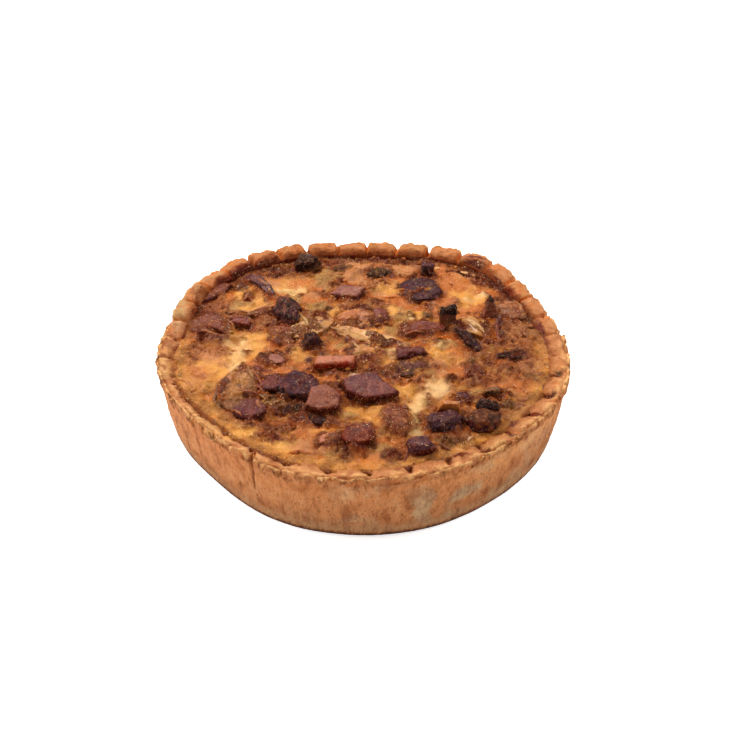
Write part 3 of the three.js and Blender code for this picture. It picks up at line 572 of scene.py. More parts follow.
# Charred scraps: nearly black, blistered and glossy.
char = baked_food("charred_edge", mottle=1, speckle=0.4, darks=0.5, lights=0.25, relief=0.5, fine=0.8,
                  dry=0.3, wet=0.12, specular=0.22, pale=DULL, dotted=DULL_DOTS)

TABLE_GLOW = 0.5  # how much the table shines, to the camera alone


def white_table():
    """A matt white table top, lit until it is pure white to the eye: only a trace of shadow shows on it."""
    material = bpy.data.materials.new("white_table_top")
    material.use_nodes = True
    tree = material.node_tree
    shader = tree.nodes["Principled BSDF"]
    settings = {"Base Color": [*linear("#fbf8f9"), 1], "Roughness": 0.9, "Specular IOR Level": 0.1,
                "Emission Color": [1, 1, 1, 1]}
    for socket, value in settings.items():
        shader.inputs[socket].default_value = value
    seen = node(tree, "ShaderNodeLightPath").outputs["Is Camera Ray"]
    glow = node(tree, "ShaderNodeMath", {"operation": "MULTIPLY", 1: TABLE_GLOW}, {0: seen}).outputs[0]
    tree.links.new(glow, shader.inputs["Emission Strength"])
    return material


# ---- The pastry case ----
CRIMP_STEPS = 28  # columns along a crimp, drawn together at its notches
CROWDING = 0.6  # how strongly they are
NOTCH_REACH = 0.5  # half the width of a notch cut through the rim
PIT_REACH = 0.95  # half the width of a pit pressed between two crimps
ARCH_ROUNDNESS = 0.9  # of the front crimps: 1 is a round arch, 0 a block
BLOCKINESS = 0.4  # of the back crimps, likewise
WALL_TOP = 18  # the rim's rows are all higher than this
RAISED = 0.6  # the crimps stand higher at the back
GAPING = 1.7  # the open notches tore deeper as they baked
STROKED_FROM = 45  # the strokes further out than this also colour the rim, but for its outer edge

# Radius, height, how much a notch pulls in and sinks the row, how much a crimp's ends drop there, raggedness,
# and how many rows there are up to the next point.
CASE_PROFILE = (
    (0, 0, 0, 0, 0, 0, 3),
    (BASE_RADIUS - 6, 0, 0, 0, 0, 0, 3),
    (BASE_RADIUS - 1.3, 0, 0, 0, 0, 0, 3),
    (BASE_RADIUS - 0.2, 0.9, 0, 0, 0, 0, 6),
    (BASE_RADIUS + 0.5, 5, 0, 0, 0, 0, 6),
    (BASE_RADIUS + 1.2, 9, 0, 0, 0, 0, 8),
    (BASE_RADIUS + 2, 16, 0.1, 0, 0, 0.1, 7),
    (RIM_RADIUS - 0.1, 19.2, 0.4, 0.2, 0, 0.5, 6),
    (RIM_RADIUS + 0.1, 20.5, 1, 0.8, 0.25, 1, 6),
    (RIM_RADIUS - 0.4, 21.1, 1.2, 1.2, 0.5, 0.9, 6),
    (RIM_RADIUS - 1.3, 21.5, 1, 1.5, 0.7, 0.4, 6),
    (RIM_RADIUS - 3, 21.65, 0.4, 1.6, 0.7, 0.1, 6),
    (RIM_RADIUS - 4.8, 21.25, 0, 1.5, 0.6, 0.1, 6),
    (RIM_RADIUS - 5.9, 20.4, -0.3, 1.1, 0.3, 0, 6),
    (RIM_RADIUS - 6.6, 18.4, 0, 0, 0, 0, 3),
    (BASE_RADIUS - WALL_THICKNESS, BASE_THICKNESS, 0, 0, 0, 0, 2),
    (0, BASE_THICKNESS, 0, 0, 0, 0, 1),
)
# Where round the case each mark is strongest, in radians from the right.
FLAT_CRIMPS = math.radians(222)
TORN_LIP = math.radians(218)
FLOURED_WALL = 5.1
FLAKED_WALL = 5.5
FLOURED_RIM = math.radians(160)
BURNISHED_RIM = math.radians(186)
TANNED_RIM = math.radians(110)
CARAMEL = math.radians(134)
# The crooked split in the wall: its angle, and in mm its ends' heights, its width, sway, slant and depth.
SPLIT = {"angle": math.radians(240.8), "top": 24, "bottom": 8, "width": 1.15, "sway": 0.35, "slant": 1,
         "depth": 1.6}


def case_rows():
    """The profile's points joined by smooth curves: one row of numbers for each ring of the case."""
    points = np.array(CASE_PROFILE, float)
    rows, last = [], len(points) - 1
    for i in range(last):
        before, here, after, beyond = (points[min(max(j, 0), last)] for j in range(i - 1, i + 3))
        steps = int(here[6])
        for k in range(steps):
            t = k / steps
            curve = (1 - t) * (before - 2 * here + after) + t * (here - 2 * after + beyond)
            bend = 0.5 * t * (t - 1) * curve
            straight = here[0] == 0 or after[0] == 0
            rows.append(here + (after - here) * t + (0 if straight else bend))
    rows.append(points[-1])
    return np.array(rows)


def notch_angle(k):
    """Where notch k is: the notches are evenly spaced but for a slow drift."""
    even = FIRST_NOTCH - k * PITCH
    return even + np.radians(waves(NOTCH_DRIFT, even))


def spun_case(rows):
    """The profile spun once round: each corner keeps the number of its row."""
    bm = bmesh.new()
    row_of = bm.verts.layers.float.new("row")
    verts = [bm.verts.new((r, 0, z)) for r, z in rows[:, :2]]
    for number, vert in enumerate(verts):
        vert[row_of] = number
    edges = [bm.edges.new(pair) for pair in zip(verts, verts[1:])]
    bmesh.ops.spin(bm, geom=verts + edges, cent=(0, 0, 0), axis=(0, 0, 1), angle=2 * math.pi,
                   steps=CRIMPS * CRIMP_STEPS, use_merge=True, use_duplicate=False)
    bmesh.ops.remove_doubles(bm, verts=bm.verts, dist=0.001)
    bmesh.ops.recalc_face_normals(bm, faces=bm.faces)
    numbers = np.array([vert[row_of] for vert in bm.verts])
    return finished(bm, "crust_pastry"), numbers


def turned_past(angle, middle):
    """How far an angle is past another, in radians, the short way round."""
    return (angle - middle + math.pi) % (2 * math.pi) - math.pi


def about(angle, middle, reach):
    """1 at an angle round the case, falling away to either side of it."""
    return bump(turned_past(angle, middle), 0, reach)


def wall_split(angle, height):
    """1 inside the crooked split in the wall, 0 outside it."""
    share = np.clip((SPLIT["top"] - height) / (SPLIT["top"] - SPLIT["bottom"]), 0, 1)
    middle = SPLIT["sway"] * np.sin(6 * share) + SPLIT["slant"] * share
    half = 0.5 * SPLIT["width"] * (1 - share) + 0.05
    aside = np.abs(turned_past(angle, SPLIT["angle"]) * RIM_RADIUS - middle)
    return smooth(aside / half, 1.3, 0.4) * (share < 1)


def crimp_draws():
    """How deep each notch is, how high each crimp stands and how wide each notch is."""
    draws = seeded(7)
    depth, crown, width = np.empty(CRIMPS + 1), np.empty(CRIMPS), np.empty(CRIMPS + 1)
    for k in range(CRIMPS):
        depth[k] = (OPEN_DEPTH if k in OPEN_NOTCHES else NOTCH_DEPTH) + UNEVENNESS * (2 * next(draws) - 1)
        crown[k] = UNEVENNESS * (2 * next(draws) - 1)
        width[k] = NOTCH_REACH * (0.6 + 1.4 * next(draws))
    depth[list(OPEN_NOTCHES)] *= GAPING
    depth[CRIMPS], width[CRIMPS] = depth[0], width[0]
    return depth, crown, width


class CaseCorners:
    """Where each corner of the spun case is, the noise there, and its share in each part and pinch.

    Crimp and share say which crimp a corner is on and how far along it, near how many mm from a notch, and
    across how far from the rim's outer edge to its inner one. Front is 1 at the front and 0 at the back.
    """

    def __init__(self, rows, numbers, flat):
        number = np.rint(numbers).astype(int)
        self.r, self.z, self.pull, self.sink, self.ease, self.rough = (rows[number, i] for i in range(6))
        turn = np.arctan2(flat[:, 1], flat[:, 0])
        along = ((FIRST_NOTCH - turn) / PITCH) % CRIMPS
        share = along - np.floor(along)
        self.crimp = np.floor(along).astype(int) % CRIMPS
        self.share = share - CROWDING / (2 * math.pi) * np.sin(2 * math.pi * share)
        self.angle = notch_angle(self.crimp) * (1 - self.share) + notch_angle(self.crimp + 1) * self.share
        self.near = np.minimum(self.share, 1 - self.share) * RIM_RADIUS * PITCH
        self.across = np.clip((RIM_RADIUS - self.r) / RIM_WIDTH, 0, 1) * (self.z > WALL_TOP)
        self.front = smooth(np.sin(self.angle), 0.45, -0.25)
        self.find_noise()
        self.find_parts()
        self.find_pinches()

    def find_noise(self):
        """Noise of several grains."""
        self.spot = np.stack([self.r * np.cos(self.angle), self.r * np.sin(self.angle), self.z], axis=1)
        self.broad = clouds(self.spot, 9, 1)
        self.flakes = clouds(self.spot, 2.2, 2) + 0.7 * np.abs(clouds(self.spot, 0.9, 3))
        self.crumb = clouds(self.spot, 0.8, 4)
        self.streaks = clouds(self.spot, 1.4, 5, stretch=(1, 1, 5))
        self.dents = clouds(self.spot, 3, 9)
        self.torn = smooth(clouds(self.spot, 2.4, 14) + 0.5 * clouds(self.spot, 0.9, 15), -0.15, 0.15) - 0.5

    def find_parts(self):
        """The outer skin, the wall, the rim and its inner side, and the groove along the front lip."""
        self.skin = (self.z > 0.3) & (self.r > BASE_RADIUS - 3)
        self.wall = smooth(self.z, 0.5, 3) * smooth(self.z, 20.5, 18.5) * (self.r > BASE_RADIUS - 1.5)
        self.rim = smooth(self.z, 19.2, 20.2) * (self.r > RIM_RADIUS - RIM_WIDTH - 0.2)
        self.inside = (self.r < RIM_RADIUS - RIM_WIDTH + 0.4) * (self.z > 10)
        self.groove = self.front * bump(self.across, 0.17, 0.07) * smooth(clouds(self.spot, 8, 10), -0.3, 0.3)

    def find_pinches(self):
        """The notches, the pits at them and the arches of the crimps, which are slighter at FLAT_CRIMPS."""
        depth, self.crown, width = crimp_draws()
        deep = np.where(self.share < 0.5, depth[self.crimp], depth[self.crimp + 1])
        wide = np.where(self.share < 0.5, width[self.crimp], width[self.crimp + 1])
        self.pressed = 1 - 0.75 * smooth(np.abs(turned_past(self.angle, FLAT_CRIMPS)), 0.75, 0.25)
        wobble = self.near + 0.35 * self.dents
        cut = deep * np.exp(-((wobble / wide) ** 2))
        self.notch = cut * (1 - 0.9 * self.front) * self.pressed
        self.pit = deep * np.exp(-((wobble / PIT_REACH) ** 2)) * bump(self.across, 0.7, 0.3)
        hump = np.clip(np.sin(math.pi * self.share), 0, 1)
        self.low = (1 - hump**BLOCKINESS) * self.pressed
        self.arch = (1 - hump**ARCH_ROUNDNESS) * smooth(self.across, 0.08, 0.4) * self.pressed

    def whim(self, which):
        """One of the uneven amounts of each corner's crimp, between UNEVENNESS below and above 0."""
        return self.crown[(self.crimp + which) % CRIMPS]


def case_height(at, drop):
    """How high each corner goes: notched, arched, uneven from crimp to crimp, and torn along the lip."""
    tilt = 2 * at.whim(5) * (at.share - 0.5)
    tilt += 1.5 * at.whim(9) * (at.across - 0.5)
    height = at.z - at.sink * at.notch - drop - at.front * (0.65 * at.arch + 0.9 * at.pit)
    height += (at.ease > 0) * (at.whim(0) + tilt) * (1 - at.low)
    lumps = 0.2 * at.broad + 0.5 * at.dents + 0.3 * clouds(at.spot, 1.5, 12) + 0.12 * at.crumb
    height += at.rim * lumps - 0.4 * at.groove
    height += RAISED * (1 - at.front) * (at.ease > 0) * smooth(np.sin(at.angle), 0.5, 0.9)
    ragged = 0.4 + 0.6 * at.front + 0.5 * about(at.angle, TORN_LIP, 0.45)
    height += ragged * smooth(at.across, 0.12, 0.05) * at.rim * (0.35 * at.flakes + 1.15 * at.torn)
    sagged = (0.5 * (1 - at.pressed) + 0.35 * at.front) * smooth(at.across, 0.1, 0.6) * (at.z > WALL_TOP)
    return height - sagged


def case_reach(at, drop, split):
    """How far out each corner goes: pulled in at the notches and the split, rough, and out of round."""
    reach = at.r - at.pull * at.notch - drop * ENDS_DRAWN_IN + at.skin * (0.12 * at.broad + 0.05 * at.crumb)
    streaked = at.wall * (0.16 * at.streaks + 0.07 * at.crumb)
    reach += at.rough * (0.3 + 0.7 * at.front) * 0.5 * at.flakes + streaked
    reach -= split * SPLIT["depth"]
    return np.where(at.r == 0, 0, reach + swell(at.angle) * at.r / RIM_RADIUS)


def bake_wall(coat, at):
    """Toasts the wall in streaks, darkens its creases under the front lip with painted shade, leaves it
    floury low down and darkens its foot.
    """
    dusted = 0.9 * at.wall * smooth(clouds(at.spot, 8, 6), -0.1, 0.4)
    coat.lay("floury", dusted * about(at.angle, FLOURED_WALL, 0.6))
    toasted = 0.42 * at.wall * smooth(clouds(at.spot, 5, 7), 0.1, 0.7)
    coat.lay("toast", toasted + 0.15 * at.wall * smooth(at.streaks, 0.1, 0.6))
    coat.lay("toast", 0.25 * at.wall * smooth(at.z + 2 * at.dents, 8, 4))
    coat.lay("floury", 0.5 * at.wall * smooth(at.z + at.dents, 5.5, 2.5))
    coat.lay("flake", 0.35 * at.wall * about(at.angle, FLAKED_WALL, 0.5) * smooth(at.z, 12, 18))
    coat.lay("ember", 0.16 * at.wall * smooth(at.z + 2 * at.broad, 10, 18))
    # painted shade in the creases under the overhanging lip at the front
    shaded_under_lip = bump(at.z, 19.2, 1.2) * (at.r > BASE_RADIUS)
    coat.lay("toast", 0.6 * at.front * smooth(at.streaks, 0.1, 0.5) * shaded_under_lip)
    coat.lay("foot", 0.95 * smooth(at.z + 0.5 * at.crumb, 2.2, 0.7) * (at.r > BASE_RADIUS - 4))


def bake_rim(coat, at, height):
    """Browns the rim, most of all at its notches and along its inner side, where the darker back is partly
    painted shade; a painted glow lights the notches at the back.
    """
    rim, front, across, dents = at.rim, at.front, at.across, at.dents
    coat.lay("crumb", rim)
    coat.lay("floury", 0.85 * rim * about(at.angle, FLOURED_RIM, 0.3) * smooth(dents, -0.3, 0.3))
    coat.lay("rust", 0.7 * rim * about(at.angle, BURNISHED_RIM, 0.2) * smooth(dents, 0.4, -0.2))
    coat.lay("khaki", 0.5 * rim * smooth(at.whim(3) + 0.3 * dents, 0, 0.5))
    coat.lay("orange", 0.6 * rim * smooth(clouds(at.spot, 4, 8), 0, 0.6))
    # partly painted shade: the crimps' inner faces at the back, turned from the lamp behind, over their real
    # toasting
    coat.lay("toast", 0.8 * rim * (1 - 0.8 * front) * smooth(across + 0.1 * dents, 0.6, 0.9))
    coat.lay("wine", 0.6 * rim * (1 - front) * smooth(across + 0.08 * dents, 0.9, 1))
    coat.lay("tan", 0.7 * rim * front * smooth(across + 0.25 * dents, 0.5, 0.95))
    # painted glow: the notches at the back lit as if light shone through the thin pastry
    coat.lay("ember", 0.7 * rim * (1 - front) * np.exp(-((at.near / 0.8) ** 2)))
    coat.lay("rust", 0.9 * rim * front * smooth(at.pit + 0.3 * at.notch, 0.25, 0.75))
    coat.lay("toast", 0.8 * at.groove)
    coat.lay("flake", 0.5 * rim * front * bump(across, 0.28, 0.15) * smooth(dents, -0.3, 0.2))
    coat.lay("tan", 0.4 * rim * about(at.angle, TANNED_RIM, 0.5))
    coat.lay("rust", 0.85 * rim * about(at.angle, CARAMEL, 0.3) * smooth(across + 0.12 * dents, 0.62, 0.85))
    lip = bump(across, 0.065, 0.055) * smooth(at.z, 20.3, 20.9)
    coat.lay("flake", (0.35 + 0.65 * front) * rim * lip * smooth(at.torn + 0.3 * at.crumb, -0.5, 0))
    coat.lay("toast", 0.5 * bump(height, 19.8, 0.5) * front * smooth(at.flakes, 0.4, -0.3))


def bake_inside(coat, at, height):
    """Browns what dips into the custard."""
    coat.lay("toast", at.inside)
    coat.lay("wine", 0.9 * at.inside * about(at.angle, CARAMEL, 0.3))
    coat.lay("rust", 0.8 * at.inside * smooth(height + 0.6 * at.dents, 20.8, 19.8))
    coat.lay("wine", 0.6 * at.inside * smooth(height + 0.6 * at.dents, 20.2, 19.4))


def stroke_rim(coat, open_to):
    """Lays the outer strokes on the case too, as far as each corner is open to them."""
    for tint, x, y, *rest in STROKES:
        if math.hypot(x, y) > STROKED_FROM:
            before = coat.layers
            coat.stroke(tint, x, y, *rest)
            coat.layers = coat.layers * open_to + before * (1 - open_to)


def crust_piece():
    """The case: pressed into crimps, notched, torn at the lip, split in the wall and baked."""
    rows = case_rows()
    mesh, numbers = spun_case(rows)
    at = CaseCorners(rows, numbers, corners(mesh) * MM)  # the profile was spun in millimetres
    drop = at.ease * at.low * (1 - at.front)
    height = case_height(at, drop)
    split = wall_split(at.angle, height) * smooth(at.across, 0.5, 0.2)
    reach = case_reach(at, drop, split)
    points = np.stack([reach * np.cos(at.angle), reach * np.sin(at.angle) + MIDDLE_Y, height], axis=1)
    move_to(mesh, points)

    coat = Coat(points, "wall", 11, wander=0.6)
    bake_wall(coat, at)
    bake_rim(coat, at, height)
    bake_inside(coat, at, height)
    coat.lay("ember", split)
    coat.lay("rust", 0.8 * smooth(split, 0.6, 1))
    stroke_rim(coat, (at.rim * smooth(at.across, 0.1, 0.3))[:, None])
    coat.dry(mesh)
    return place("crust_pastry", mesh, shortcrust, "pastry", "crust")


# ---- The custard ----
CUSTARD_STEPS = 280  # squares along each side of its grid
CUSTARD_RADIUS = RIM_RADIUS - RIM_WIDTH + 3.6  # as far as the grid reaches under the crimps
OVERLAP = 1.6  # how far the custard has crept up onto the crimps where it creeps furthest
CREEP = math.radians(228)  # where that is
EDGE_CAP = 20.1  # the custard's edge stays below the crimps at the back
CLIMB = 1.1  # how far the custard climbs round a piece
NO_PIECE = 4  # a piece further off than this leaves no mark on the custard
CUSTARD_TOP = tree_over(NODES["filling"].data)
EDGE_LEVEL = 19.2
LEVEL_INSET = 1.2  # nearer its edge than this, the custard takes its level from further in


def custard_grid():
    """A square grid, its edge drawn down and closed under: the corners of the drawn edge are marked."""
    bm = bmesh.new()
    bmesh.ops.create_grid(bm, x_segments=CUSTARD_STEPS, y_segments=CUSTARD_STEPS, size=1)
    under = bm.verts.layers.float.new("under")
    edges = [edge for edge in bm.edges if edge.is_boundary]
    made = bmesh.ops.extrude_edge_only(bm, edges=edges)["geom"]
    for item in made:
        if isinstance(item, bmesh.types.BMVert):
            item[under] = 1
    rim = [item for item in made if isinstance(item, bmesh.types.BMEdge) and item.is_boundary]
    bmesh.ops.contextual_create(bm, geom=rim)
    bmesh.ops.recalc_face_normals(bm, faces=bm.faces)
    depth = np.array([vert[under] for vert in bm.verts])
    return finished(bm, "custard_filling"), depth


def custard_level(points):
    """The height of the solid filling under each point; near its edge, the height a little further in."""
    levels = np.full(len(points), EDGE_LEVEL)
    angle = np.arctan2(points[:, 1] - MIDDLE_Y, points[:, 0])
    far = np.hypot(points[:, 0], points[:, 1] - MIDDLE_Y)
    kept = np.minimum(far, RIM_RADIUS - RIM_WIDTH + swell(angle) - LEVEL_INSET)
    for i, (turn, reach) in enumerate(zip(angle, kept)):
        start = Vector((reach * math.cos(turn), reach * math.sin(turn) + MIDDLE_Y, ABOVE))
        hit = CUSTARD_TOP.ray_cast(start, DOWN)[0]
        if hit:
            levels[i] = hit.z
    return levels


def around_pieces(points):
    """How far each point is from the nearest piece, and how far in front of that spot it lies."""
    pieces = tree_over(*(NODES[name].data for name in NODES if name not in ("crust", "filling")))
    nearest = [pieces.find_nearest(Vector(p), NO_PIECE) for p in points]
    away = np.array([NO_PIECE if found[3] is None else found[3] for found in nearest])
    ahead = np.array([0 if found[0] is None else found[0].y - y for found, y in zip(nearest, points[:, 1])])
    return away, ahead


def custard_coat(points, back, from_middle):
    """The skin's coat, with painted shadow by the pieces, most of all in front of them away from the lamp
    behind, and browned at the back edge.
    """
    away, ahead = around_pieces(points)
    coat = browned(points)
    # painted shadow: amber, rust and wine laid by the pieces, strongest in front of them
    shaded = 0.25 + 0.75 * smooth(ahead, -0.4, 0.6)
    drift = 0.6 * clouds(points, 3, 33) + 0.4 * coat.grit
    coat.lay("amber", 0.5 * shaded * smooth(away + drift, 2.6, 1))
    coat.lay("rust", 0.65 * shaded * smooth(away + drift, 1.6, 0.3))
    coat.lay("wine", 0.85 * shaded * smooth(away + 0.5 * drift, 1.1, 0.2))
    far = from_middle + 0.6 * coat.grit
    coat.lay("brown", 0.6 * back * smooth(far, 48, 51.5))
    coat.lay("wine", 0.7 * back * smooth(far, 51, 53))
    coat.lay("gold", 0.4 * (1 - back) * smooth(far, 49, 53))
    return coat, away, far


def custard_rise(points, coat, away):
    """How far the skin stands over the solid filling: swollen, wrinkled, and climbing round each piece."""
    grain = coat.layers[:, GRAIN]
    rise = CLIMB * np.exp(-((away / 1.3) ** 2)) * (0.7 + clouds(points, 5, 34)) + 0.1
    rise += 1.1 * clouds(points, SWELL_GRAIN, 27) + 0.35 * creased(points, WRINKLE_GRAIN, 29) * (0.3 + grain)
    rise += coat.layers[:, LIFT] + 0.4 * clouds(points, 2.2, 25) * (0.3 + grain) + 0.28 * coat.grit * grain
    return rise


def filling_piece():
    """The custard: browned, swollen and wrinkled, drawn up round each piece and onto the crimps."""
    mesh, under = custard_grid()
    square = corners(mesh) * MM
    u, v = square[:, 0], square[:, 1]
    x, y = u * np.sqrt(1 - v * v / 2), v * np.sqrt(1 - u * u / 2)
    angle, share = np.arctan2(y, x), np.hypot(x, y)
    reach = share * (CUSTARD_RADIUS + swell(angle))
    flat = np.stack([reach * np.cos(angle), reach * np.sin(angle) + MIDDLE_Y], axis=1)
    points = np.column_stack([flat, custard_level(flat)])
    back = smooth(np.sin(angle), -0.1, 0.45)
    coat, away, far = custard_coat(points, back, reach - swell(angle))
    rise = custard_rise(points, coat, away)

    # Its edge, drawn up onto the crimps at the front and then turned down and under.
    crept = smooth(np.cos(angle - CREEP), 0.5, 0.98)
    edge = smooth(share, 0.84, 0.95)
    lip = (RIM_RADIUS - RIM_WIDTH + 0.9 + OVERLAP * crept) / CUSTARD_RADIUS
    coat.lay("rust", 0.55 * (1 - back) * smooth(share, lip - 0.02, lip))
    climb = 0.4 + 0.4 * (1 - back) + 1.1 * crept + 0.5 * clouds(points, 6, 28)
    points[:, 2] += rise * (1 - 0.5 * edge) + edge * climb
    over = np.maximum(points[:, 2] - EDGE_CAP - 1.5 * (1 - back) - 2 * crept, 0)
    points[:, 2] -= over * smooth(far, 50.5, 52.5)
    points[:, 2] -= 3.4 * smooth(share + 0.008 * coat.grit, lip, lip + 0.04)
    low = under > 0.5
    foot = BASE_RADIUS - WALL_THICKNESS - GAP
    points[low, 0] = (foot + swell(angle[low])) * np.cos(angle[low])
    points[low, 1] = (foot + swell(angle[low])) * np.sin(angle[low]) + MIDDLE_Y
    points[low, 2] = BASE_THICKNESS + GAP
    move_to(mesh, points)
    coat.dry(mesh)
    return place("custard_filling", mesh, custard, "egg_filling", "filling")


# ---- The pieces in the custard ----
# For each food: its material, its top, side and singed tints, the depth and grain of its relief, how drawn
# out that is, and whether it wrinkles (1), is folded into ridges (-1) or is only lumpy (0). The side tint is
# partly the food's own colour and partly painted shade on steep faces and in hollows.
FOODS = {
    "ham": (ham, "mauve", "wine", "rust", 0.25, 2.6, (2, 1, 1), 0),
    "mushroom": (mushroom, "plum", "char", "mauve", 0.8, 4.4, (1, 1, 1), -1),
    "leek": (leek, "olive", "moss", "brown", 0.6, 2.4, (2.4, 1, 1), -1),
    "onion": (onion, "brown", "rust", "tan", 0.5, 3, (1.6, 1, 1), 1),
    "burnt_edge": (char, "char", "char", "plum", 0.6, 2.6, (1, 1, 1), -1),
}
# Pieces that cooked otherwise than their food: top, side and singed tints, the side tint partly painted
# shade.
DRESSED = {
    "ham_bar": ("salmon", "ruby", "ham"),
    "ham_square": ("ham", "wine", "mauve"),
    "ham_broad": ("mauve", "wine", "plum"),
    "ham_back": ("ham", "wine", "mauve"),
    "ham_flush_left": ("ham", "rust", "mauve"),
    "ham_strip_right": ("mauve", "rust", "brown"),
    "ham_strip_left": ("brown", "plum", "mauve"),
    "ham_knob_middle": ("rust", "wine", "wine"),
    "ham_knob_right": ("plum", "wine", "mauve"),
    "leek_curl_back": ("plum", "char", "mauve"),
    "leek_fold_left": ("brown", "rust", "olive"),
    "leek_petal_left": ("khaki", "tan", "gold"),
    "leek_petal_middle": ("khaki", "olive", "gold"),
    "leek_petal_right": ("khaki", "olive", "cream"),
    "leek_crumple_middle": ("khaki", "brown", "tan"),
    "leek_knot_back": ("slate", "char", "moss"),
    "leek_crust_back": ("moss", "char", "olive"),
    "leek_tip_standing": ("ham", "ham", "slate"),
    "leek_end_standing": ("char", "ham", "char"),
    "leek_boat_right": ("char", "wine", "char"),
    "leek_burnt_wedge": ("char", "wine", "plum"),
    "mushroom_upper": ("mauve", "wine", "plum"),
    "mushroom_flap": ("slate", "wine", "mauve"),
    "mushroom_rings": ("mauve", "wine", "plum"),
    "mushroom_button_left": ("mauve", "wine", "plum"),
    "mushroom_ridge": ("char", "plum", "mauve"),
    "mushroom_front": ("plum", "char", "plum"),
    "mushroom_right": ("slate", "plum", "brown"),
    "mushroom_back": ("plum", "plum", "char"),
    "onion_flap": ("peach", "orange", "gold"),
    "onion_rim_right": ("tan", "brown", "slate"),
    "onion_rim_left": ("brown", "mauve", "wine"),
    "onion_middle": ("tan", "rust", "brown"),
    "onion_scrap_front": ("salmon", "rust", "mauve"),
}
# Pieces that lie under a film of custard.
SOAKED = ("leek_petal_left", "leek_petal_middle", "leek_petal_right", "leek_crumple_middle",
          "leek_thicket_front", "leek_fleck_middle", "onion_flap", "onion_middle")
SUNK = 0.5  # mm the soaked pieces lie deeper
SHOWING, SHOWING_SOAKED = 0.95, 0.45  # how much of its own colour a piece shows
TALLEST_HAM, LEAST_TALL = 3, 1  # mm: ham counts as no taller than this, any other piece as no lower
VOXEL = 0.3  # mm between the corners of a remeshed piece
FINE_SHARE = 0.35  # how strong the finest relief is
FULL_RELIEF = 5  # mm: pieces thinner than this take less relief
# How far up a piece its own colour starts and is whole, as shares of its height: the custard's skin covers
# the rest.
BARE = (0.04, 0.32)
BARE_OF = {"leek": (0.13, 0.5), "onion": (0.13, 0.5), "mushroom": (-0.3, 0.2)}
SCORCHED = {"leek_end_standing": 0.6, "leek_tip_standing": 0.85}  # how far up the black tip starts
FIRST_SEED = 40  # of the noise on the pieces


def fine_copies(names):
    """The CAD nodes' meshes, each merged and remeshed fine."""
    carriers = {}
    for name in names:
        bm = bmesh.new()
        bm.from_mesh(NODES[name].data)
        bmesh.ops.remove_doubles(bm, verts=bm.verts, dist=0.01 * MM)
        carrier = bpy.data.objects.new(name + "_coarse", finished(bm, name + "_coarse"))
        bpy.context.scene.collection.objects.link(carrier)
        remesh = carrier.modifiers.new("fine", "REMESH")
        remesh.mode = "VOXEL"
        remesh.voxel_size = VOXEL * MM
        settled = carrier.modifiers.new("settled", "SMOOTH")
        settled.factor = 0.5
        settled.iterations = 3
        carriers[name] = carrier
    view = bpy.context.evaluated_depsgraph_get()
    fine = {name: bpy.data.meshes.new_from_object(carrier.evaluated_get(view))
            for name, carrier in carriers.items()}
    for carrier in carriers.values():
        bpy.data.objects.remove(carrier)
    return fine


def topping(name, food, mesh, seed):
    """One piece of food, its CAD form given relief and its own colours where it stands out of the custard,
    with painted shade on its sides and in its hollows and painted light on its tops.
    """
    material, top, side, singed, depth, grain, stretch, fold = FOODS[food]
    top, side, singed = DRESSED.get(name, (top, side, singed))
    points, normals = corners(mesh), facing(mesh)
    points[:, 2] -= SUNK * (name in SOAKED)
    if fold:
        lumps = fold * creased(points, grain, seed, stretch)
    else:
        lumps = clouds(points, grain, seed, stretch=stretch)
    lumps = 0.5 * lumps + 0.5 * clouds(points, grain / 2, seed + 3)
    depth *= min(1, min(np.ptp(points, axis=0)) / FULL_RELIEF)
    relief = depth * lumps + FINE_SHARE * depth * clouds(points, grain / 4, seed + 1)
    points += normals * relief[:, None]
    move_to(mesh, points)

    # The custard's skin, and over it the piece's own tints from a little way up; the side tint is partly
    # painted shade.
    coat = browned(points)
    out = points[:, 2] - custard_level(points) + 0.6 * coat.grit
    tall = np.percentile(out, 98)
    tall = min(tall, TALLEST_HAM) if food == "ham" else max(tall, LEAST_TALL)
    start, end = BARE_OF.get(food, BARE)
    bare = smooth(out, start * tall, end * tall)
    up = facing(mesh)[:, 2]
    patches = smooth(clouds(points, 2.4, seed + 2) + 0.4 * coat.grit, -0.05, 0.6)
    bare *= SHOWING_SOAKED if name in SOAKED else SHOWING
    coat.lay(top, bare)
    # partly painted shade: the side tint on steep faces, turned from the light above
    coat.lay(side, 0.9 * bare * smooth(up + 0.2 * coat.grit, 0.65, 0.25))
    coat.lay(singed, 0.7 * bare * np.maximum(patches, smooth(lumps, 0.15, 0.6)))
    # painted shade: the side tint in the hollows of the relief
    coat.lay(side, 0.8 * bare * smooth(lumps, -0.1, -0.6))
    if name in SCORCHED:
        coat.lay("char", smooth(out / tall, SCORCHED[name] - 0.1, SCORCHED[name] + 0.05))
    # painted shade in the piece's hollows and painted light on its tops
    coat.shade_hollows_light_tops(lumps, 0.7)
    coat.dry(mesh)
    return place(name + "_cooked", mesh, material, food, name)


# ---- Crumbs of browned custard and cheese, thickest where the skin is most granular ----
CRUMB_TRIES = 2400
CRUMB_SIZES = (0.25, 0.8)  # half widths in mm
LENGTHENED = 1.3  # length and height of a crumb as shares of its width
FLATNESS = 0.6
RAISED_BY = 0.2  # share of its size that a crumb's middle stands over the skin


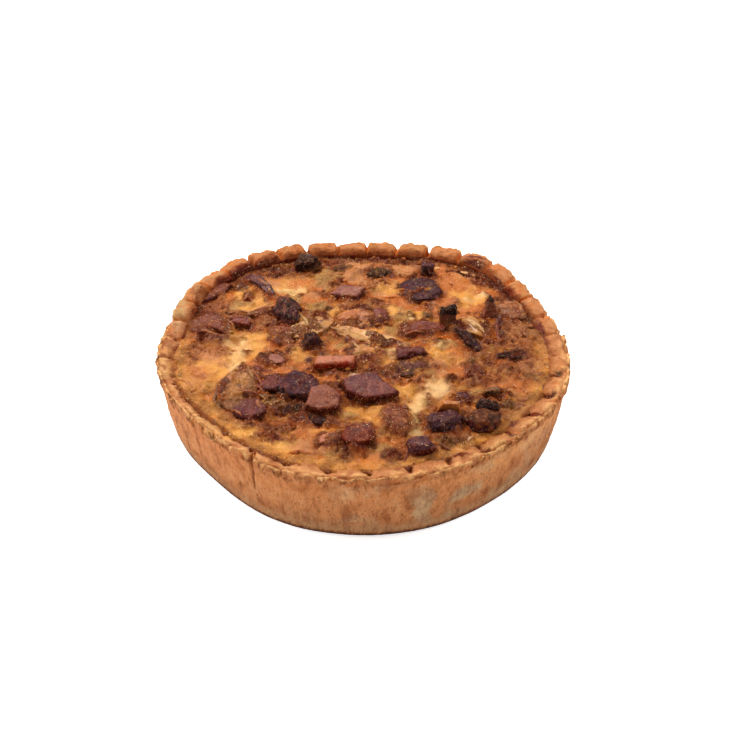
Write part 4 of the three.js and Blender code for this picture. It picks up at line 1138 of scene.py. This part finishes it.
def crumbs(skin):
    """One mesh of small lumps strewn over the skin, which is a mesh with its grain painted on."""
    surface, grain = tree_over(skin), grain_of(skin)
    draws = seeded(19)
    lump = template("lump", bmesh.ops.create_icosphere, subdivisions=2, radius=1)
    bm = bmesh.new()
    for _ in range(CRUMB_TRIES):
        x, y = somewhere(draws, CUSTARD_RADIUS - 1)
        size = between(CRUMB_SIZES, next(draws) ** 2)
        chance, spin = next(draws), 2 * math.pi * next(draws)
        spot, slope, face, _ = surface.ray_cast(Vector((x, y, ABOVE)), DOWN)
        if spot is None or chance > grain[skin.polygons[face].vertices[0]] ** 2:
            continue
        shape = (size * LENGTHENED, size, size * FLATNESS)
        add_copy(bm, lump, Matrix.LocRotScale(spot + slope * size * RAISED_BY, Euler((0, 0, spin)), shape))
    mesh = finished(bm, "browned_crumbs")
    points = jostled(corners(mesh) * MM, 0.18, 0.7, 31)
    move_to(mesh, points)
    browned(points).dry(mesh)
    return place("browned_crumbs", mesh, custard, "egg_filling")


# ---- Shreds of leek and cheese lying over everything ----
# Tint, x and y of the middle, length, width, turn in degrees and how far the middle is bent aside.
SHREDS = (
    # the thicket of leek at the front left
    ("olive", -34.3, -20, 5, 1.4, -70, 0.4), ("slate", -36, -13, 8, 0.9, 60, 0.4),
    ("slate", -39, -22, 12, 0.9, 80, 0.6), ("khaki", -31, -15.5, 4, 1, -60, 0.3),
    ("mauve", -29.5, -11.5, 4, 1.1, -70, 0.4), ("olive", -32, -12, 4, 1.1, -75, 0.3),
    ("salmon", -28.5, -18, 4, 0.9, -65, 0.3), ("rust", -28, -21.5, 3.5, 1, -50, 0.3),
    ("khaki", -25, -27.5, 3.5, 1.1, -50, 0.4), ("khaki", -27, -25, 3, 0.7, -50, 0.2),
    ("mauve", -30.5, -24.8, 6, 1.2, 0, 1.2), ("mauve", -27, -28.5, 5, 1.2, -75, -0.8),
    ("tan", -37, -26, 5, 0.8, -55, 0.3), ("tan", -33, -32.5, 4, 0.9, -40, 0.3),
    ("char", -33.3, -22.6, 2.2, 0.8, -70, 0.1), ("char", -38, -28.3, 2.6, 0.7, -30, 0.2),
    ("mauve", -24, -16.6, 4, 1.2, -75, 0.4),
    # the leek across the middle
    ("khaki", 0.6, 1, 6, 1.2, -60, 0.6), ("khaki", -2, -2, 5, 1, -55, 0.4),
    ("olive", 3, -2, 3.4, 0.8, -75, 0.2), ("cream", 33.5, 9, 7, 1.2, -55, 0.5),
    ("cream", 31.6, 11, 6, 1.1, -60, 0.4), ("pearl", 32.4, 7.6, 4, 0.6, -55, 0.2),
    ("khaki", 35, 11.5, 5, 1.2, -80, 0.3), ("tan", 32, 14.6, 8, 1.2, 0, 0.3),
    ("mauve", 40, 8, 13, 1.2, 88, 0.5), ("plum", 40.6, 14, 3.4, 1.6, 85, 0),
    ("khaki", 25.5, 1.2, 4, 1.2, -40, 0.3), ("plum", 33.4, 2, 6, 1.3, -75, 0.6),
    ("plum", 29, 7, 5, 1.3, -35, 0.4), ("rust", 15, 6, 6, 1.2, 5, 0.5),
    # ridges and strings at the back
    ("salmon", -29, 20.4, 9, 0.8, 12, 0.4), ("tan", -37, 18, 8, 1.2, 5, 0.4),
    ("mauve", -38, 13.5, 6, 1.2, -5, 0.4), ("olive", -14, 9.4, 9, 1, -42, 1.4),
    ("khaki", -18, 12, 7, 1.2, -60, 0.8), ("khaki", -8, 8, 5, 1.2, -40, 0.5),
    ("brown", -37, 38, 7, 1.3, 55, 0.5), ("rust", -33, 40, 6, 1, 35, 0.4),
    ("mauve", -31, 34, 7, 1.3, -45, -0.7), ("tan", -9, 41, 7, 1.2, 15, 0.5),
    ("orange", -5, 35.6, 5, 1, 5, 0.3), ("orange", -14, 33.4, 4, 1.3, 10, 0.3),
    ("orange", 8.5, 27, 6, 1.3, -10, 0.5),
    # the front
    ("khaki", 13.6, -33, 6, 1.1, -70, 0.3), ("amber", -16, -47.6, 5, 1.6, 8, 0.4),
    ("tan", 41, -19, 7, 1.1, -25, 0.4), ("tan", -48, -19, 7, 1.1, -55, 0.4),
    ("tan", -46, 5.6, 8, 1.4, -5, 0.4), ("mauve", -43, 7.6, 6, 1.2, -10, 0.4),
)
STRAY_TRIES = 300  # small shreds, faintly tinted or left in the colours they lie on
STRAY_LENGTHS = (1.5, 5)
STRAY_WIDTHS = (0.5, 1.1)
STRAY_TINTS = ("tan", "rust", None, "brown")
STRAY_BEND = 0.4
SHRED_THICKNESS = 0.3
BEDDED = -0.02  # how high a shred's middle lies over what is under it, as a share of its width
GRANULAR = 0.35  # the stray shreds lie only where the skin is rougher than this
STATIONS = 9  # how many places along a shred feel for what lies under it
FIRM, FAINT = 0.6, 0.45  # how much of its own tint a placed shred has, and a stray one


def shred_rows(trees, skin):
    """The rows of the placed shreds and of the stray ones, which lie on the skin between the pieces."""
    grain = grain_of(skin)
    rows = [(*row[:2], row[2] + MIDDLE_Y, *row[3:]) for row in SHREDS]
    draws = seeded(23)
    for _ in range(STRAY_TRIES):
        x, y = somewhere(draws, RIM_RADIUS - RIM_WIDTH - 2)
        length = between(STRAY_LENGTHS, next(draws) ** 2)
        width = between(STRAY_WIDTHS, next(draws))
        tint = STRAY_TINTS[int(len(STRAY_TINTS) * next(draws))]
        turn, bend = 180 * next(draws), next(draws) - 0.5
        above = Vector((x, y, ABOVE))
        covered = any(tree.ray_cast(above, DOWN)[0] for tree in trees[1:])
        face = trees[0].ray_cast(above, DOWN)[2]
        if not covered and grain[skin.polygons[face].vertices[0]] > GRANULAR:
            rows.append((tint, x, y, length, width, turn, length * bend * STRAY_BEND))
    return rows


def laid_over(trees, strand, x, y, length, width, turn, bend):
    """The corners of a strand, flattened, bent and following whatever lies highest under it."""
    run = np.array([math.cos(math.radians(turn)), math.sin(math.radians(turn))])
    side = np.array([-run[1], run[0]])
    stations = np.linspace(-1, 1, STATIONS)
    levels = []
    for t in stations:
        spot = np.array([x, y]) + run * t * length / 2 + side * bend * (1 - t * t)
        hits = [tree.ray_cast(Vector((*spot, ABOVE)), DOWN)[0] for tree in trees]
        levels.append(max([hit.z for hit in hits if hit] or [EDGE_LEVEL]))
    levels = np.convolve(np.pad(levels, 1, mode="edge"), (0.25, 0.5, 0.25), mode="valid")
    t = strand[:, 2]
    aside = bend * (1 - t * t) + strand[:, 0] * width / 2
    flat = np.array([x, y]) + t[:, None] * run * length / 2 + aside[:, None] * side
    height = np.interp(t, stations, levels) + (strand[:, 1] * SHRED_THICKNESS + BEDDED) * width
    return np.column_stack([flat, height])


def shreds(pieces):
    """One mesh of tapering strands bent over the pieces, the first of which is the skin."""
    trees = [tree_over(piece.data) for piece in pieces]
    rows = shred_rows(trees, pieces[0].data)
    strand = template("strand", bmesh.ops.create_uvsphere, u_segments=8, v_segments=16, radius=1)
    shape = corners(strand) * MM
    bm = bmesh.new()
    for _ in rows:
        bm.from_mesh(strand)
    mesh = finished(bm, "shreds")
    points = np.concatenate([laid_over(trees, shape, *row[1:]) for row in rows])
    points = jostled(points, 0.12, 0.9, 35)
    move_to(mesh, points)
    coat = browned(points)
    owner = np.repeat(np.arange(len(rows)), len(shape))
    for tint in {row[0] for row in rows if row[0]}:
        chosen = np.array([row[0] == tint for row in rows])[owner]
        coat.lay(tint, chosen * np.where(owner < len(SHREDS), FIRM, FAINT))
    # painted shade in the shreds' hollows and painted light on their tops
    coat.shade_hollows_light_tops(clouds(points, 1.2, 38), 0.6)
    coat.dry(mesh)
    return place("shreds", mesh, leek, "leek")


# ---- Flakes that broke off: x, y, z, length, width, thickness, turn in degrees ----
FLAKES = (
    (32.5, 41.5, 20.6, 3, 1, 0.6, 15),
    (35.2, 40.2, 20.4, 1.4, 0.7, 0.5, -20),
    (24, 44.6, 20.4, 2, 1.2, 1, 10),
)
TIPPED = (0.2, 0.3)  # radians that each flake leans over


def flakes_piece():
    """One mesh of pale pastry flakes."""
    lump = template("flake", bmesh.ops.create_icosphere, subdivisions=4, radius=0.5)
    bm = bmesh.new()
    for x, y, z, *size, turn in FLAKES:
        lean = Euler((*TIPPED, math.radians(turn)))
        add_copy(bm, lump, Matrix.LocRotScale(Vector((x, y + MIDDLE_Y, z)), lean, Vector(size)))
    mesh = finished(bm, "pastry_flakes")
    points = jostled(corners(mesh) * MM, 0.25, 0.9, 41)
    move_to(mesh, points)
    Coat(points, "flake", 44).dry(mesh)
    return place("pastry_flakes", mesh, shortcrust, "pastry")


# ---- Stage, light and camera ----
def table():
    """The table top under the quiche."""
    mesh = template("table_top", bmesh.ops.create_grid, x_segments=1, y_segments=1, size=1.5)
    floor = bpy.data.objects.new("table_top", mesh)
    bpy.context.scene.collection.objects.link(floor)
    mesh.materials.append(white_table())


BACKGROUND = 0.17  # how bright the white room is
LAMPS_AIM = (0, 0, 15)
# Each lamp's name, watts, metres across and place in mm.
LAMPS = (
    ("key_behind", 1.95, 0.22, (-130, 260, 430)),
    ("left_side", 1.25, 0.3, (-450, 20, 240)),
    ("right_side", 1.0, 0.3, (430, 60, 260)),
    ("back_glint", 0.55, 0.1, (40, 460, 340)),
    ("front_fill", 0.82, 0.5, (0, -500, 160)),
)


def studio():
    """A white room with soft lamps round the quiche, the strongest behind it."""
    world = bpy.data.worlds.new("studio_white")
    world.use_nodes = True
    room = world.node_tree.nodes["Background"].inputs
    room["Color"].default_value = [1, 1, 1, 1]
    room["Strength"].default_value = BACKGROUND
    bpy.context.scene.world = world
    view = bpy.context.scene.view_settings
    view.view_transform = "Standard"
    view.look = "Medium High Contrast"
    for name, watts, size, at in LAMPS:
        light = bpy.data.lights.new(name, "AREA")
        light.energy = watts
        light.shape = "DISK"
        light.size = size
        lamp = bpy.data.objects.new(name, light)
        lamp.location = Vector(at) * MM
        lamp.rotation_euler = (Vector(at) - Vector(LAMPS_AIM)).to_track_quat("Z", "Y").to_euler()
        bpy.context.scene.collection.objects.link(lamp)


VIEW_DISTANCE = 300
VIEW_DOWN = math.radians(35.4)
AIM = (0.88, 1.64, 11.83)
LENS = 50.07
SENSOR = 36
NEAREST_SEEN = 0.01  # metres


def camera():
    """A camera in front of the quiche, looking down on it."""
    data = bpy.data.cameras.new("camera")
    data.lens = LENS
    data.sensor_width = SENSOR
    data.clip_start = NEAREST_SEEN
    eye = bpy.data.objects.new("camera", data)
    back = Vector((0, -math.cos(VIEW_DOWN), math.sin(VIEW_DOWN))) * VIEW_DISTANCE
    eye.location = (Vector(AIM) + back) * MM
    eye.rotation_euler = Euler((math.pi / 2 - VIEW_DOWN, 0, 0))
    bpy.context.scene.collection.objects.link(eye)
    bpy.context.scene.camera = eye


table()
studio()
camera()
crust_piece()
skin = filling_piece()
crumbs(skin.data)
slots = {row["node"]: row["material_slot"] for row in frame["record"]["subparts"]}
foods = {name: slot for name, slot in slots.items() if slot in FOODS}
laid = [topping(name, foods[name], mesh, FIRST_SEED + 3 * number)
        for number, (name, mesh) in enumerate(fine_copies(sorted(foods)).items())]
shreds([skin, *laid])
flakes_piece()
